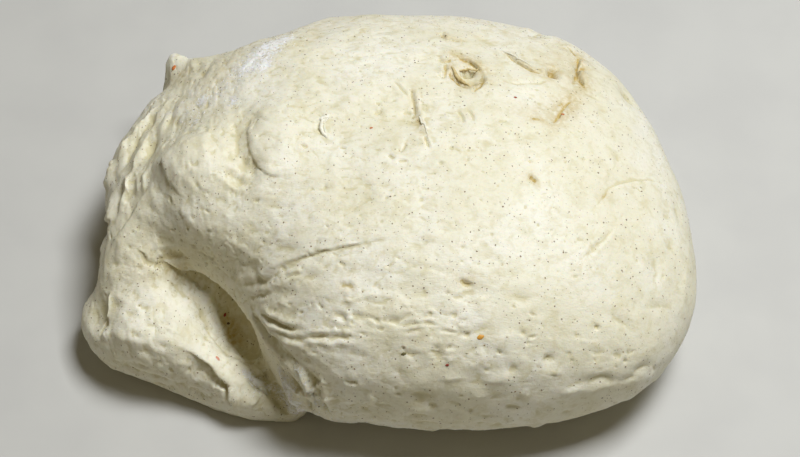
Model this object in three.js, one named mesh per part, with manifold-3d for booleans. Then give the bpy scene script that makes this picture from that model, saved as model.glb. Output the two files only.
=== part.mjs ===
// Bread dough: one kneaded mass of wet bread dough, resting on its own flat foot.
//
// Frame: millimetres, +Z up, +X along the long side, +Y towards the back. The origin is on the resting
// surface, under the middle of the mass.
//
// The whole thing is a single solid. A broad crown carries its weight. At the front left corner a thick flap
// of the same dough has been folded out, and the crown's rim rolls over it and leaves a pocket between them.

import * as THREE from "three";
import { mergeVertices } from "three/addons/utils/BufferGeometryUtils.js";
import Module from "manifold-3d";

const wasm = await Module();
wasm.setup();

// Driving dimensions.
const HEIGHT = 71;
const BELT_HEIGHT = 27; // where the crown is widest
const SIDE_REACH = 34; // how far below the belt the side would close, if the surface were not there
const SHOULDER = 0.84; // under 1 makes the crown squarer than an ellipsoid
const CROWN_DETAIL = 14;
const ROLL_DETAIL = 8;
const BROAD_ARC = 35; // degrees each way over which the plan is averaged towards the crown's top
const BELT_ARC = 2; // degrees each way over which it is averaged at the belt
const BELT_SAMPLES = 4000; // points read off the belt's curve

// The crown's plan at its belt, anticlockwise from the front middle.
const BELT_PLAN = [
  [0, -78],
  [32, -79],
  [62, -76],
  [88, -66],
  [103, -48],
  [109, -30],
  [108, -10],
  [105, 14],
  [98, 40],
  [84, 65],
  [60, 82],
  [30, 89],
  [4, 88],
  [-18, 89],
  [-44, 78],
  [-70, 66],
  [-89, 51],
  [-99, 31],
  [-102, 8],
  [-99, -4],
  [-86, -13],
  [-65, -21],
  [-50, -34],
  [-42, -53],
  [-28, -70],
];

// Broad swells and hollows of the crown's upper surface: where, how far they reach, and how much they rise.
const SWELLS = [
  { at: [-40, 42], reach: 26, rise: 5 },
  { at: [-80, 34], reach: 30, rise: -6 },
  { at: [40, 0], reach: 55, rise: 4 },
  { at: [36, 64], reach: 26, rise: -3 },
  { at: [-54, -2], reach: 22, rise: 5 },
];

// Rolls of dough along a bent spine. Each spine point has the roll's half width and half height there, which
// the rounded ends then draw in.
const FLAP = {
  spine: [
    [-109, -24, 12],
    [-98, -29, 14],
    [-84, -35, 15],
    [-70, -42, 13],
    [-57, -51, 9],
    [-44, -59, 6],
    [-25, -63, 5],
  ],
  halfWidth: [19, 21, 20, 17, 14, 11, 10],
  halfHeight: [16, 19, 20, 18, 15, 12, 10],
};
const FLAP_ROOT = {
  spine: [
    [-98, -10, 10],
    [-88, -18, 12],
    [-72, -25, 10],
    [-56, -36, 4],
    [-43, -52, 1],
    [-30, -65, 0],
  ],
  halfWidth: [14, 17, 18, 16, 14, 12],
  halfHeight: [13, 15, 15, 13, 11, 9],
};
const WEB = {
  spine: [
    [-84, 22, 34],
    [-87, 6, 31],
    [-87, -9, 29],
    [-88, -22, 25],
    [-91, -36, 19],
    [-95, -46, 12],
  ],
  halfWidth: [12, 14, 14, 15, 14, 10],
  halfHeight: [12, 16, 18, 18, 15, 9],
};
const RIM_ROLL = {
  spine: [
    [-96, 14, 26],
    [-85, 3, 30],
    [-70, -4, 33],
    [-53, -11, 34],
    [-40, -25, 32],
    [-33, -42, 27],
    [-28, -60, 19],
  ],
  halfWidth: [15, 17, 18, 18, 17, 16, 14],
  halfHeight: [12, 13, 14, 14, 14, 12, 10],
};
const POCKET = {
  spine: [
    [-76, -25, 35],
    [-69, -26, 31],
    [-59, -31, 24],
    [-50, -41, 18],
    [-42, -54, 16],
  ],
  halfWidth: [3, 8, 9, 7, 4],
  halfHeight: [3, 7, 9, 8, 5],
};

// A tip of dough that stood up where the last piece was pulled off, at the back left.
const TIP = {
  foot: [-73, 56, 20],
  top: [-80, 68, 41],
  footRadius: 17,
  topRadius: 2.5,
  neckRadius: 7.6,
  neckShare: 0.6, // how far up the tip its neck is
  sides: 16,
};

// The block below the resting surface that the dough is cut flat by.
const BLOCK = { side: 400, depth: 100 };

/** A manifold-3d solid from a closed three.js geometry. */
function solidFrom(geometry) {
  const bare = geometry.clone();
  bare.deleteAttribute("normal");
  bare.deleteAttribute("uv");
  const merged = mergeVertices(bare, 1e-4);
  const triVerts = merged.index ? new Uint32Array(merged.index.array) : undefined;
  return new wasm.Manifold(
    new wasm.Mesh({ numProp: 3, vertProperties: merged.attributes.position.array, triVerts }),
  );
}

/** A closed ball of even triangles, with every point of the unit sphere moved by place(point). */
function lump(detail, place) {
  const ball = new THREE.IcosahedronGeometry(1, detail);
  const position = ball.attributes.position;
  const point = new THREE.Vector3();
  for (let i = 0; i < position.count; i++) {
    point.fromBufferAttribute(position, i).normalize();
    place(point);
    position.setXYZ(i, point.x, point.y, point.z);
  }
  return solidFrom(ball);
}

/** Reads a list of values as a straight-line function of a share from 0 to 1. */
function along(values, share) {
  const at = THREE.MathUtils.clamp(share, 0, 1) * (values.length - 1);
  const k = Math.min(Math.floor(at), values.length - 2);
  return THREE.MathUtils.lerp(values[k], values[k + 1], at - k);
}

/** A roll of dough: a ball drawn out along its spine, with its width level and its height upright. */
function roll({ spine, halfWidth, halfHeight }, detail) {
  const curve = new THREE.CatmullRomCurve3(spine.map((p) => new THREE.Vector3(...p)));
  const up = new THREE.Vector3(0, 0, 1);
  return lump(detail, (point) => {
    const share = (1 - point.x) / 2;
    const side = new THREE.Vector3().crossVectors(up, curve.getTangent(share)).normalize();
    const { y, z } = point;
    point.copy(curve.getPoint(share));
    point.addScaledVector(side, -y * along(halfWidth, share));
    point.addScaledVector(up, z * along(halfHeight, share));
  });
}

/** The belt's radius at each whole degree of the plan, from the smooth closed curve through BELT_PLAN. */
function beltRadii() {
  const points = BELT_PLAN.map(([x, y]) => new THREE.Vector3(x, y, 0));
  const curve = new THREE.CatmullRomCurve3(points, true, "centripetal");
  const sums = new Array(360).fill(0);
  const counts = new Array(360).fill(0);
  for (const { x, y } of curve.getPoints(BELT_SAMPLES)) {
    const degree = (Math.round(THREE.MathUtils.radToDeg(Math.atan2(y, x))) + 360) % 360;
    sums[degree] += Math.hypot(x, y);
    counts[degree] += 1;
  }
  return sums.map((sum, degree) => sum / counts[degree]);
}

/** The mean of a ring of values within a number of places each way. */
function averaged(ring, reach) {
  return ring.map((_, k) => {
    let sum = 0;
    for (let d = -reach; d <= reach; d++) sum += ring[(k + d + ring.length) % ring.length];
    return sum / (2 * reach + 1);
  });
}

/** A ring of values, one for each degree, read at any angle in radians. */
function around(ring, angle) {
  const degree = (THREE.MathUtils.radToDeg(angle) + 360) % 360;
  const k = Math.floor(degree);
  return THREE.MathUtils.lerp(ring[k % 360], ring[(k + 1) % 360], degree - k);
}

/** How far the swells lift the crown's top at a plan position. */
function swellAt(x, y) {
  let lift = 0;
  for (const { at, reach, rise } of SWELLS) {
    const away = Math.hypot(x - at[0], y - at[1]) / reach;
    lift += rise * Math.exp(-away * away);
  }
  return lift;
}

/** The crown: a square-shouldered dome over the belt, and a side that curves in below it. */
function crown() {
  const belt = averaged(beltRadii(), BELT_ARC);
  const broad = averaged(belt, BROAD_ARC);
  const squared = (value) => Math.sign(value) * Math.abs(value) ** SHOULDER;
  return lump(CROWN_DETAIL, (point) => {
    const angle = Math.atan2(point.y, point.x);
    const level = Math.hypot(point.x, point.y);
    const plan = THREE.MathUtils.lerp(around(broad, angle), around(belt, angle), level ** 3);
    const radius = plan * squared(level);
    const x = radius * Math.cos(angle);
    const y = radius * Math.sin(angle);
    const up = point.z > 0;
    const z = BELT_HEIGHT + squared(point.z) * (up ? HEIGHT - BELT_HEIGHT : SIDE_REACH);
    point.set(x, y, z + (up ? swellAt(x, y) * point.z : 0));
  });
}

/** The pulled-up tip: a cone with a blunt end, leaning from its foot to its top. */
function tip() {
  const foot = new THREE.Vector3(...TIP.foot);
  const top = new THREE.Vector3(...TIP.top);
  const length = foot.distanceTo(top);
  const profile = [
    new THREE.Vector2(0, 0),
    new THREE.Vector2(TIP.footRadius, 0),
    new THREE.Vector2(TIP.neckRadius, TIP.neckShare * length),
    new THREE.Vector2(TIP.topRadius, length - TIP.topRadius),
    new THREE.Vector2(0, length),
  ];
  const cone = new THREE.LatheGeometry(profile, TIP.sides);
  const lean = new THREE.Quaternion().setFromUnitVectors(
    new THREE.Vector3(0, 1, 0),
    top.clone().sub(foot).normalize(),
  );
  cone.applyQuaternion(lean).translate(foot.x, foot.y, foot.z);
  return solidFrom(cone);
}

/** What the resting surface takes away, so that the dough stands on a flat foot. */
function surfaceBelow() {
  const block = new THREE.BoxGeometry(BLOCK.side, BLOCK.side, BLOCK.depth);
  block.translate(0, 0, -BLOCK.depth / 2);
  return solidFrom(block);
}

/** The manifold-3d solid as a three.js geometry. */
function geometryFrom(solid) {
  const mesh = solid.getMesh();
  const position = new Float32Array(mesh.numVert * 3);
  for (let i = 0; i < mesh.numVert; i++) {
    position.set(mesh.vertProperties.subarray(i * mesh.numProp, i * mesh.numProp + 3), i * 3);
  }
  const geometry = new THREE.BufferGeometry();
  geometry.setAttribute("position", new THREE.BufferAttribute(position, 3));
  geometry.setIndex(new THREE.BufferAttribute(new Uint32Array(mesh.triVerts), 1));
  geometry.computeVertexNormals();
  return geometry;
}

let mass = crown();
for (const shape of [FLAP, FLAP_ROOT, WEB, RIM_ROLL]) mass = mass.add(roll(shape, ROLL_DETAIL));
mass = mass.add(tip());
mass = mass.subtract(roll(POCKET, ROLL_DETAIL));
mass = mass.subtract(surfaceBelow());

const dough = new THREE.Mesh(
  geometryFrom(mass),
  new THREE.MeshStandardMaterial({ color: 0xe9e4cf, roughness: 0.55, metalness: 0 }),
);
dough.name = "dough";

// The origin is under the middle of the dough's box.
const box = new THREE.Box3().setFromObject(dough);
dough.position.set(-(box.min.x + box.max.x) / 2, -(box.min.y + box.max.y) / 2, 0);

const group = new THREE.Group();
group.add(dough);

export default group;
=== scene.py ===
"""Bread dough: one kneaded mass of wet dough with a folded flap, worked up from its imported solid.

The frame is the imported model's: metres, +Z up, +X along the long side and +Y towards the back, with the
origin on the resting surface under the middle of the dough. Places and sizes on the skin are written in
millimetres in that frame, because that is the scale at which dough is worked; MM turns them into metres.
"""

import logging
import math
from collections.abc import Sequence
from dataclasses import dataclass, field
from enum import Enum

import bmesh
import bpy
import numpy as np
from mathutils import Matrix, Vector
from mathutils.kdtree import KDTree


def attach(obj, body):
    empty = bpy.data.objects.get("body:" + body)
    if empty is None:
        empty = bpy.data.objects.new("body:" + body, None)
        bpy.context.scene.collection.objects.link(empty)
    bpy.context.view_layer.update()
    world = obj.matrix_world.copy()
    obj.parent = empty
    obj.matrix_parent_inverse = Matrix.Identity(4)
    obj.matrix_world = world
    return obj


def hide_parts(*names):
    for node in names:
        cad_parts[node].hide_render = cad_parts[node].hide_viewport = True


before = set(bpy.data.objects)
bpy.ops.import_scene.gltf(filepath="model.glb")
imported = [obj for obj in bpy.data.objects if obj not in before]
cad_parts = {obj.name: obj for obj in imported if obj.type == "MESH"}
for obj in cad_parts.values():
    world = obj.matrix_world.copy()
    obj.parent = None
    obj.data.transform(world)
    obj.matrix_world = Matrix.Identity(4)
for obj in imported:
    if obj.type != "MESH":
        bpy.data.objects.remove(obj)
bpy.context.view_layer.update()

MM = 0.001
NODE = "dough"
BODY = "root"

log = logging.getLogger("bread_dough")

Point = tuple[float, float, float]
Path = tuple[Point, ...]
Colour = tuple[float, float, float]
Values = dict[str | int, object]


# ---------------------------------------------------------------------------------------------------------
# Node trees written as expressions
# ---------------------------------------------------------------------------------------------------------


class Wire:
    """A node's output that arithmetic can be done on. Each operator adds one Math node."""

    def __init__(self, net: "Net", socket: bpy.types.NodeSocket) -> None:
        """Keeps the output and the tree that it belongs to."""
        self.net = net
        self.socket = socket

    def _maths(self, operation: str, *values: "Wire | float") -> "Wire":
        """Adds a Math node.

        Args:
            operation: the node's operation.
            values: its inputs, in order.

        Returns:
            The node's result.
        """
        return self.net.add("ShaderNodeMath", {"operation": operation}, dict(enumerate(values)))

    def __add__(self, other: "Wire | float") -> "Wire":
        """Adds."""
        return self._maths("ADD", self, other)

    __radd__ = __add__

    def __sub__(self, other: "Wire | float") -> "Wire":
        """Takes away."""
        return self._maths("SUBTRACT", self, other)

    def __rsub__(self, other: float) -> "Wire":
        """Takes this away from a number."""
        return self._maths("SUBTRACT", other, self)

    def __mul__(self, other: "Wire | float") -> "Wire":
        """Multiplies."""
        return self._maths("MULTIPLY", self, other)

    __rmul__ = __mul__

    def __truediv__(self, other: "Wire | float") -> "Wire":
        """Divides."""
        return self._maths("DIVIDE", self, other)

    def __rtruediv__(self, other: float) -> "Wire":
        """Divides a number by this."""
        return self._maths("DIVIDE", other, self)

    def __gt__(self, other: "Wire | float") -> "Wire":
        """One where this is the greater, and nought elsewhere."""
        return self._maths("GREATER_THAN", self, other)

    def clamped(self) -> "Wire":
        """This kept between nought and one."""
        return self.net.add("ShaderNodeClamp", {}, {"Value": self})

    def between(self, low: float, high: float) -> "Wire":
        """A smooth step.

        Args:
            low: the value that gives nought.
            high: the value that gives one. It may be the smaller of the two.

        Returns:
            The step's height.
        """
        return self.net.add(
            "ShaderNodeMapRange",
            {"interpolation_type": "SMOOTHSTEP"},
            {"Value": self, "From Min": low, "From Max": high},
        )


class Net:
    """A shader or geometry node tree that is being put together."""

    def __init__(self, tree: bpy.types.NodeTree) -> None:
        """Starts on an empty tree."""
        self.tree = tree
        tree.nodes.clear()

    def make(self, kind: str, settings: Values, sockets: Values) -> bpy.types.Node:
        """Adds any node.

        Args:
            kind: the node's type.
            settings: its properties, which are set first.
            sockets: values or wires for its inputs, by name or by place.

        Returns:
            The node.
        """
        node = self.tree.nodes.new(kind)
        for name, value in settings.items():
            setattr(node, name, value)
        for key, value in sockets.items():
            self._feed(self._pick(node.inputs, key), value)
        return node

    def add(self, kind: str, settings: Values, sockets: Values, output: str | int = 0) -> Wire:
        """Adds any node and picks one of its outputs.

        Args:
            kind: the node's type.
            settings: its properties.
            sockets: values or wires for its inputs.
            output: the output's name, or its place among those in use.

        Returns:
            That output.
        """
        node = self.make(kind, settings, sockets)
        return Wire(self, self._pick(node.outputs, output))

    def mix(self, factor: Wire | float, first: Wire | Colour, second: Wire | Colour) -> Wire:
        """Mixes two colours.

        Args:
            factor: how much of the second there is.
            first: a colour.
            second: the other colour.

        Returns:
            The mixed colour.
        """
        return self.add(
            "ShaderNodeMix", {"data_type": "RGBA"}, {"Factor": factor, "A": first, "B": second}, "Result"
        )

    def scaled(self, vector: Wire, by: Wire | float | Point) -> Wire:
        """A vector made longer or shorter.

        Args:
            vector: the vector.
            by: one factor for all its axes, or one for each.

        Returns:
            The new vector.
        """
        if isinstance(by, tuple):
            return self.add("ShaderNodeVectorMath", {"operation": "MULTIPLY"}, {0: vector, 1: by})
        return self.add("ShaderNodeVectorMath", {"operation": "SCALE"}, {0: vector, "Scale": by})

    def noise(self, place: Wire, scale: float | Wire, detail: float = 2.0, seed: float | Wire = 0.0,
              roughness: float = 0.5, twist: float = 0.0) -> Wire:
        """Soft noise between about nought and one.

        Args:
            place: where it is read.
            scale: how many lumps there are to a metre.
            detail: how many finer layers it has.
            seed: which noise it is.
            roughness: how strong the finer layers are.
            twist: how far it is dragged about.

        Returns:
            The noise.
        """
        return self.add(
            "ShaderNodeTexNoise",
            {"noise_dimensions": "4D"},
            {"Vector": place, "W": seed, "Scale": scale, "Detail": detail, "Roughness": roughness,
             "Distortion": twist},
            0,
        )

    def attribute(self, name: str) -> Wire:
        """A value that was painted on the skin, as a shader reads it."""
        return self.add("ShaderNodeAttribute", {"attribute_name": name}, {}, "Fac")

    def join(self, source: Wire, target: bpy.types.NodeSocket) -> None:
        """Wires an output to an input."""
        self.tree.links.new(source.socket, target)

    def _feed(self, socket: bpy.types.NodeSocket, value: object) -> None:
        """Wires or sets one input."""
        if isinstance(value, Wire):
            self.join(value, socket)
        elif isinstance(value, tuple) and socket.type == "RGBA":
            socket.default_value = (*value, 1.0)[:4]
        else:
            socket.default_value = value

    @staticmethod
    def _pick(sockets: Sequence[bpy.types.NodeSocket], key: str | int) -> bpy.types.NodeSocket:
        """The socket in use that has a name, or a place among those in use."""
        used = [socket for socket in sockets if socket.enabled]
        if isinstance(key, int):
            return used[key]
        return next(socket for socket in used if socket.name == key)


def finish_named(name: str) -> tuple[bpy.types.Material, Net, bpy.types.Node]:
    """Starts a material.

    Args:
        name: its name.

    Returns:
        The material, its tree, and the shader that its surface uses.
    """
    material = bpy.data.materials.new(name)
    material.use_nodes = True
    net = Net(material.node_tree)
    shader = net.make("ShaderNodeBsdfPrincipled", {}, {})
    output = net.make("ShaderNodeOutputMaterial", {}, {})
    net.tree.links.new(shader.outputs[0], output.inputs["Surface"])
    return material, net, shader


# ---------------------------------------------------------------------------------------------------------
# The skin, and the hand tools that work it
# ---------------------------------------------------------------------------------------------------------


def unit(vectors: np.ndarray) -> np.ndarray:
    """Vectors of length one along the last axis."""
    length = np.linalg.norm(vectors, axis=-1, keepdims=True)
    return vectors / np.maximum(length, 1e-12)


def smooth_step(value: np.ndarray, low: float, high: float) -> np.ndarray:
    """A smooth step from nought at low to one at high."""
    share = np.clip((value - low) / (high - low), 0.0, 1.0)
    return share * share * (3.0 - 2.0 * share)


def ripple(points: np.ndarray, size: float) -> np.ndarray:
    """Soft unevenness over the skin, between about -1 and 1.

    Args:
        points: places, in mm.
        size: how far apart its crests are, in mm.

    Returns:
        Its height at each place.
    """
    ways = np.array([[0.83, 0.55, 0.31], [-0.52, 0.97, 0.68], [1.31, -0.71, 0.57], [0.35, 1.43, -1.12]])
    return np.sin(points @ ways.T * (math.tau / size) + np.arange(len(ways))).mean(axis=1) * 1.4


@dataclass
class Beside:
    """How the skin's points near a path lie beside it.

    Attributes:
        index: which points these are.
        side: how far each is to the left of the path, seen from outside, in mm.
        gap: how far each is from the path, in mm.
        share: how far along the path each is, from 0 to 1.
        facing: how much the skin there faces the way it does at the path, from 0 to 1.
        across: the direction across the path, towards its left, at each point.
    """

    index: np.ndarray
    side: np.ndarray
    gap: np.ndarray
    share: np.ndarray
    facing: np.ndarray
    across: np.ndarray


class Skin:
    """The dough's outer surface, in millimetres, with the tools' moves applied to its points."""

    SAMPLE = 0.6  # mm between the places that a path is measured at
    STRIDE = 3.0  # mm that a walk over the skin goes at a time
    FACING = (-0.3, 0.4)  # how alike the skin must face for a tool to begin to reach it, and to do so fully

    def __init__(self, mesh: bpy.types.Mesh) -> None:
        """Reads a mesh that is in metres."""
        self.mesh = mesh
        self.points = self._read(mesh.vertices, "co", 3) / MM
        mesh.calc_loop_triangles()
        self.triangles = self._read(mesh.loop_triangles, "vertices", 3, np.int32)
        self.edges = self._read(mesh.edges, "vertices", 2, np.int32)
        self.feel()

    @staticmethod
    def _read(items: Sequence[object], what: str, width: int, kind: type = np.float32) -> np.ndarray:
        """Reads one property of many items as an array of rows."""
        flat = np.zeros(len(items) * width, kind)
        items.foreach_get(what, flat)
        rows = flat.reshape(-1, width)
        return rows.astype(float) if kind is np.float32 else rows

    def feel(self) -> None:
        """Works out again which way the skin faces, and the tree that finds its nearest point."""
        corners = self.points[self.triangles]
        facing = np.cross(corners[:, 1] - corners[:, 0], corners[:, 2] - corners[:, 0])
        total = np.zeros_like(self.points)
        for corner in range(3):
            for axis in range(3):
                total[:, axis] += np.bincount(
                    self.triangles[:, corner], facing[:, axis], minlength=len(self.points)
                )
        self.normals = unit(total)
        self.tree = KDTree(len(self.points))
        for place, point in enumerate(self.points.tolist()):
            self.tree.insert(point, place)
        self.tree.balance()

    def keep(self) -> None:
        """Writes the points back to the mesh, in metres."""
        self.mesh.vertices.foreach_set("co", (self.points * MM).astype(np.float32).ravel())
        self.mesh.update()

    def paint(self, name: str, values: np.ndarray) -> None:
        """Stores one value for each point, for the materials and scatters to read."""
        layer = self.mesh.attributes.new(name, "FLOAT", "POINT")
        layer.data.foreach_set("value", values.astype(np.float32))

    def mean_of_neighbours(self, values: np.ndarray) -> np.ndarray:
        """The mean of the values at each point's neighbours.

        Args:
            values: a row for each point.

        Returns:
            The means, in rows of the same width.
        """
        first, second = self.edges[:, 0], self.edges[:, 1]
        count = np.bincount(self.edges.ravel(), minlength=len(self.points))
        mean = np.empty_like(values)
        for column in range(values.shape[1]):
            total = np.bincount(first, values[second, column], minlength=len(self.points))
            total += np.bincount(second, values[first, column], minlength=len(self.points))
            mean[:, column] = total / np.maximum(count, 1)
        return mean

    def relaxed(self, rounds: int) -> np.ndarray:
        """The points after some rounds of smoothing."""
        points = self.points.copy()
        for _ in range(rounds):
            points = 0.5 * (points + self.mean_of_neighbours(points))
        return points

    def rub(self, at: Point, reach: float, rounds: int) -> None:
        """Smooths the skin round a place.

        Args:
            at: the place, in mm.
            reach: how far it spreads, in mm.
            rounds: how many times it is gone over.
        """
        away = np.linalg.norm(self.points - np.array(at), axis=1)
        share = np.exp(-((away / reach) ** 2))[:, None]
        for _ in range(rounds):
            self.points += share * (self.mean_of_neighbours(self.points) - self.points)

    def open_places(self, low: Sequence[float], high: Sequence[float], facing: float) -> np.ndarray:
        """Finds the points over a part of the plan that face up enough.

        Args:
            low: one corner of the plan, in mm.
            high: the opposite corner.
            facing: the least upward part of the way that they face.

        Returns:
            The points' places in the list.
        """
        plan = self.points[:, :2]
        return np.flatnonzero(np.all((plan > low) & (plan < high), axis=1) & (self.normals[:, 2] > facing))

    def land(self, point: Sequence[float]) -> tuple[np.ndarray, np.ndarray]:
        """Brings a place onto the skin.

        Args:
            point: the place, in mm.

        Returns:
            The nearest place on the skin, and the way that the skin faces there.
        """
        _, place, _ = self.tree.find(point)
        normal = self.normals[place]
        away = np.asarray(point) - self.points[place]
        return np.asarray(point) - normal * float(away @ normal), normal

    def walk(self, start: Point, heading: float, length: float, turn: float = 0.0) -> Path:
        """Walks over the skin.

        Args:
            start: where the walk begins, in mm.
            heading: the plan direction in degrees, anticlockwise from +X.
            length: how far it goes, in mm.
            turn: how many degrees it turns by on the way.

        Returns:
            The places that it passes.
        """
        steps = max(3, round(length / self.STRIDE))
        place, normal = self.land(start)
        path = [tuple(place)]
        for step in range(steps):
            angle = math.radians(heading + turn * step / steps)
            way = np.array([math.cos(angle), math.sin(angle), 0.0])
            way = unit(way - normal * float(way @ normal))
            place, normal = self.land(place + way * (length / steps))
            path.append(tuple(place))
        return tuple(path)

    def lay(self, path: Path) -> tuple[np.ndarray, np.ndarray]:
        """Lays a smooth curve through a path's points down on the skin.

        Args:
            path: the points, in mm.

        Returns:
            Places along it, and the way that the skin faces at each.
        """
        knots = np.array(path, float)
        if len(knots) == 1:
            knots = np.vstack([knots, knots + 1e-3])
        padded = np.vstack([2 * knots[0] - knots[1], knots, 2 * knots[-1] - knots[-2]])
        places = []
        for k in range(1, len(padded) - 2):
            before, a, b, after = padded[k - 1], padded[k], padded[k + 1], padded[k + 2]
            count = max(2, math.ceil(float(np.linalg.norm(b - a)) / self.SAMPLE))
            for t in np.linspace(0.0, 1.0, count, endpoint=False):
                places.append(0.5 * (2 * a + (b - before) * t + (2 * before - 5 * a + 4 * b - after) * t**2
                                     + (3 * a - before - 3 * b + after) * t**3))
        places.append(knots[-1])
        landed = [self.land(place) for place in places]
        return np.array([place for place, _ in landed]), np.array([normal for _, normal in landed])

    def beside(self, path: Path, reach: float) -> Beside:
        """Measures the skin's points that lie near a path.

        Args:
            path: the path's points, in mm.
            reach: how far from it a point may be.

        Returns:
            Those points' measures.
        """
        places, normals = self.lay(path)
        along = unit(np.gradient(places, axis=0))
        across = unit(np.cross(normals, along))
        low, high = places.min(0) - reach, places.max(0) + reach
        inside = np.all((self.points > low) & (self.points < high), axis=1)
        index = np.flatnonzero(inside)
        away = self.points[index, None, :] - places[None, :, :]
        distance = np.einsum("ijk,ijk->ij", away, away)
        nearest = distance.argmin(axis=1)
        gap = np.sqrt(distance[np.arange(len(index)), nearest])
        kept = gap < reach
        index, nearest, gap = index[kept], nearest[kept], gap[kept]
        offset = self.points[index] - places[nearest]
        beyond = np.einsum("ij,ij->i", offset, along[nearest])
        side = np.einsum("ij,ij->i", offset, across[nearest])
        inner = (nearest > 0) & (nearest < len(places) - 1)
        gap = np.where(inner, np.sqrt(np.maximum(gap**2 - beyond**2, 0.0)), gap)
        facing = np.einsum("ij,ij->i", self.normals[index], normals[nearest])
        share = nearest / (len(places) - 1)
        return Beside(index, side, gap, share, smooth_step(facing, *self.FACING), across[nearest])


def dies_away(share: np.ndarray, ends: float) -> np.ndarray:
    """How strong a tool's mark is along its path.

    Args:
        share: places along the path, from 0 to 1.
        ends: the part of the path over which each end dies away.

    Returns:
        The strengths, from 0 to 1.
    """
    if ends <= 0.0:
        return np.ones_like(share)
    return smooth_step(np.minimum(share, 1.0 - share), -0.02, ends)


@dataclass(frozen=True)
class Mark:
    """A groove or ridge along a path.

    Attributes:
        path: the path's points, in mm.
        width: half its width, in mm.
        rise: how far it stands up, in mm. A groove's is negative.
        lip: how far the skin beside it stands up, in mm.
        ends: the part of the path over which each end dies away.
    """

    path: Path
    width: float
    rise: float
    lip: float = 0.0
    ends: float = 0.3

    LIP_PLACE = 2.1  # how far out the lip's crest is, in half widths
    LIP_WIDTH = 1.1  # how far the lip spreads each way, in half widths
    SHARPNESS = 1.4  # 2 would round the groove's bottom, and 1 would bring it to an edge
    FADE = 5.0  # how many half widths out it is followed
    WANDER = 0.35  # mm that its sides stray at most, and how far they do as a part of its width
    CRESTS = 8.0  # mm between the places where they stray most
    UNEVEN = 0.25  # how much its height varies, for the narrowest

    def work(self, skin: Skin) -> None:
        """Presses it into the skin, or pulls it out."""
        near = skin.beside(self.path, self.width * self.FADE)
        uneven = ripple(skin.points[near.index], self.CRESTS)
        beyond = np.maximum(near.gap**2 - near.side**2, 0.0)
        stray = self.WANDER * min(1.0, self.width)
        off = np.sqrt(beyond + (near.side + uneven * stray) ** 2) / self.width
        height = self.rise * np.exp(-(off**self.SHARPNESS))
        height += self.lip * np.exp(-(((off - self.LIP_PLACE) / self.LIP_WIDTH) ** 2))
        height *= dies_away(near.share, self.ends) * near.facing
        height *= 1.0 + self.UNEVEN * min(1.0, 1.0 / self.width) * uneven
        skin.points[near.index] += skin.normals[near.index] * height[:, None]


class Over(Enum):
    """Which side of a fold's path lies over the other, going along the path and seen from outside."""

    LEFT = 1.0
    RIGHT = -1.0


@dataclass(frozen=True)
class Fold:
    """A place where the skin on one side of a path rolls over the skin on the other.

    Attributes:
        path: the path's points, in mm.
        over: the side that lies on top.
        rise: how far the upper side stands up at the path, in mm.
        reach: how far the upper side's roll goes, in mm.
        under: how deep the lower side is tucked at the path, in mm.
        tuck: how far the tuck goes, in mm.
        lean: how far the upper side leans out over the lower, in mm.
        ends: the part of the path over which each end dies away.
    """

    path: Path
    over: Over
    rise: float
    reach: float
    under: float
    tuck: float
    lean: float = 0.0
    ends: float = 0.3

    EDGE = 0.45  # mm over which the skin turns from the upper side to the lower
    WANDER = 0.3  # mm that its edge strays
    CRESTS = 9.0  # mm between the places where it strays most
    FADE = 2.6  # how many times its reach it is followed out to
    TUCK_SHARPNESS = 1.3  # 2 would round the tuck's bottom, and 1 would bring it to an edge

    def work(self, skin: Skin) -> None:
        """Rolls the one side over the other."""
        near = skin.beside(self.path, self.FADE * max(self.reach, self.tuck))
        uneven = ripple(skin.points[near.index], self.CRESTS)
        side = near.side * self.over.value + uneven * self.WANDER
        strength = dies_away(near.share, self.ends) * near.facing
        beyond = np.sqrt(np.maximum(near.gap**2 - side**2, 0.0))
        strength *= np.exp(-((beyond / max(self.tuck, 1.0)) ** 2))
        upper = self.rise * np.exp(-((np.abs(side) / self.reach) ** 2))
        lower = -self.under * np.exp(-((np.abs(side) / self.tuck) ** self.TUCK_SHARPNESS))
        turned = smooth_step(side, -self.EDGE, self.EDGE)
        height = (turned * upper + (1.0 - turned) * lower) * strength
        pulled = turned * np.exp(-((side / (0.5 * self.reach)) ** 2)) * strength
        lean = -self.lean * self.over.value * pulled
        move = skin.normals[near.index] * height[:, None] + near.across * lean[:, None]
        skin.points[near.index] += move


@dataclass(frozen=True)
class Swell:
    """A round swelling, or a hollow where the rise is negative.

    Attributes:
        at: its middle, in mm.
        reach: how far it spreads, in mm.
        rise: how far it stands up, in mm.
        flat: over 1 gives it a broad top and a steeper side.
    """

    at: Point
    reach: float
    rise: float
    flat: float = 1.0

    FADE = 2.4  # how many times its reach it is followed out to

    def work(self, skin: Skin) -> None:
        """Swells the skin."""
        near = skin.beside((self.at,), self.reach * self.FADE)
        height = self.rise * np.exp(-((near.gap / self.reach) ** (2.0 * self.flat))) * near.facing
        skin.points[near.index] += skin.normals[near.index] * height[:, None]


@dataclass(frozen=True)
class Drag:
    """A pinch of the skin that is pulled some way.

    Attributes:
        at: its middle, in mm.
        reach: how far round it the skin follows, in mm.
        by: the pull, in mm.
    """

    at: Point
    reach: float
    by: Point

    def work(self, skin: Skin) -> None:
        """Pulls the skin."""
        away = np.linalg.norm(skin.points - np.array(self.at), axis=1)
        skin.points += np.exp(-((away / self.reach) ** 2))[:, None] * np.array(self.by)


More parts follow.
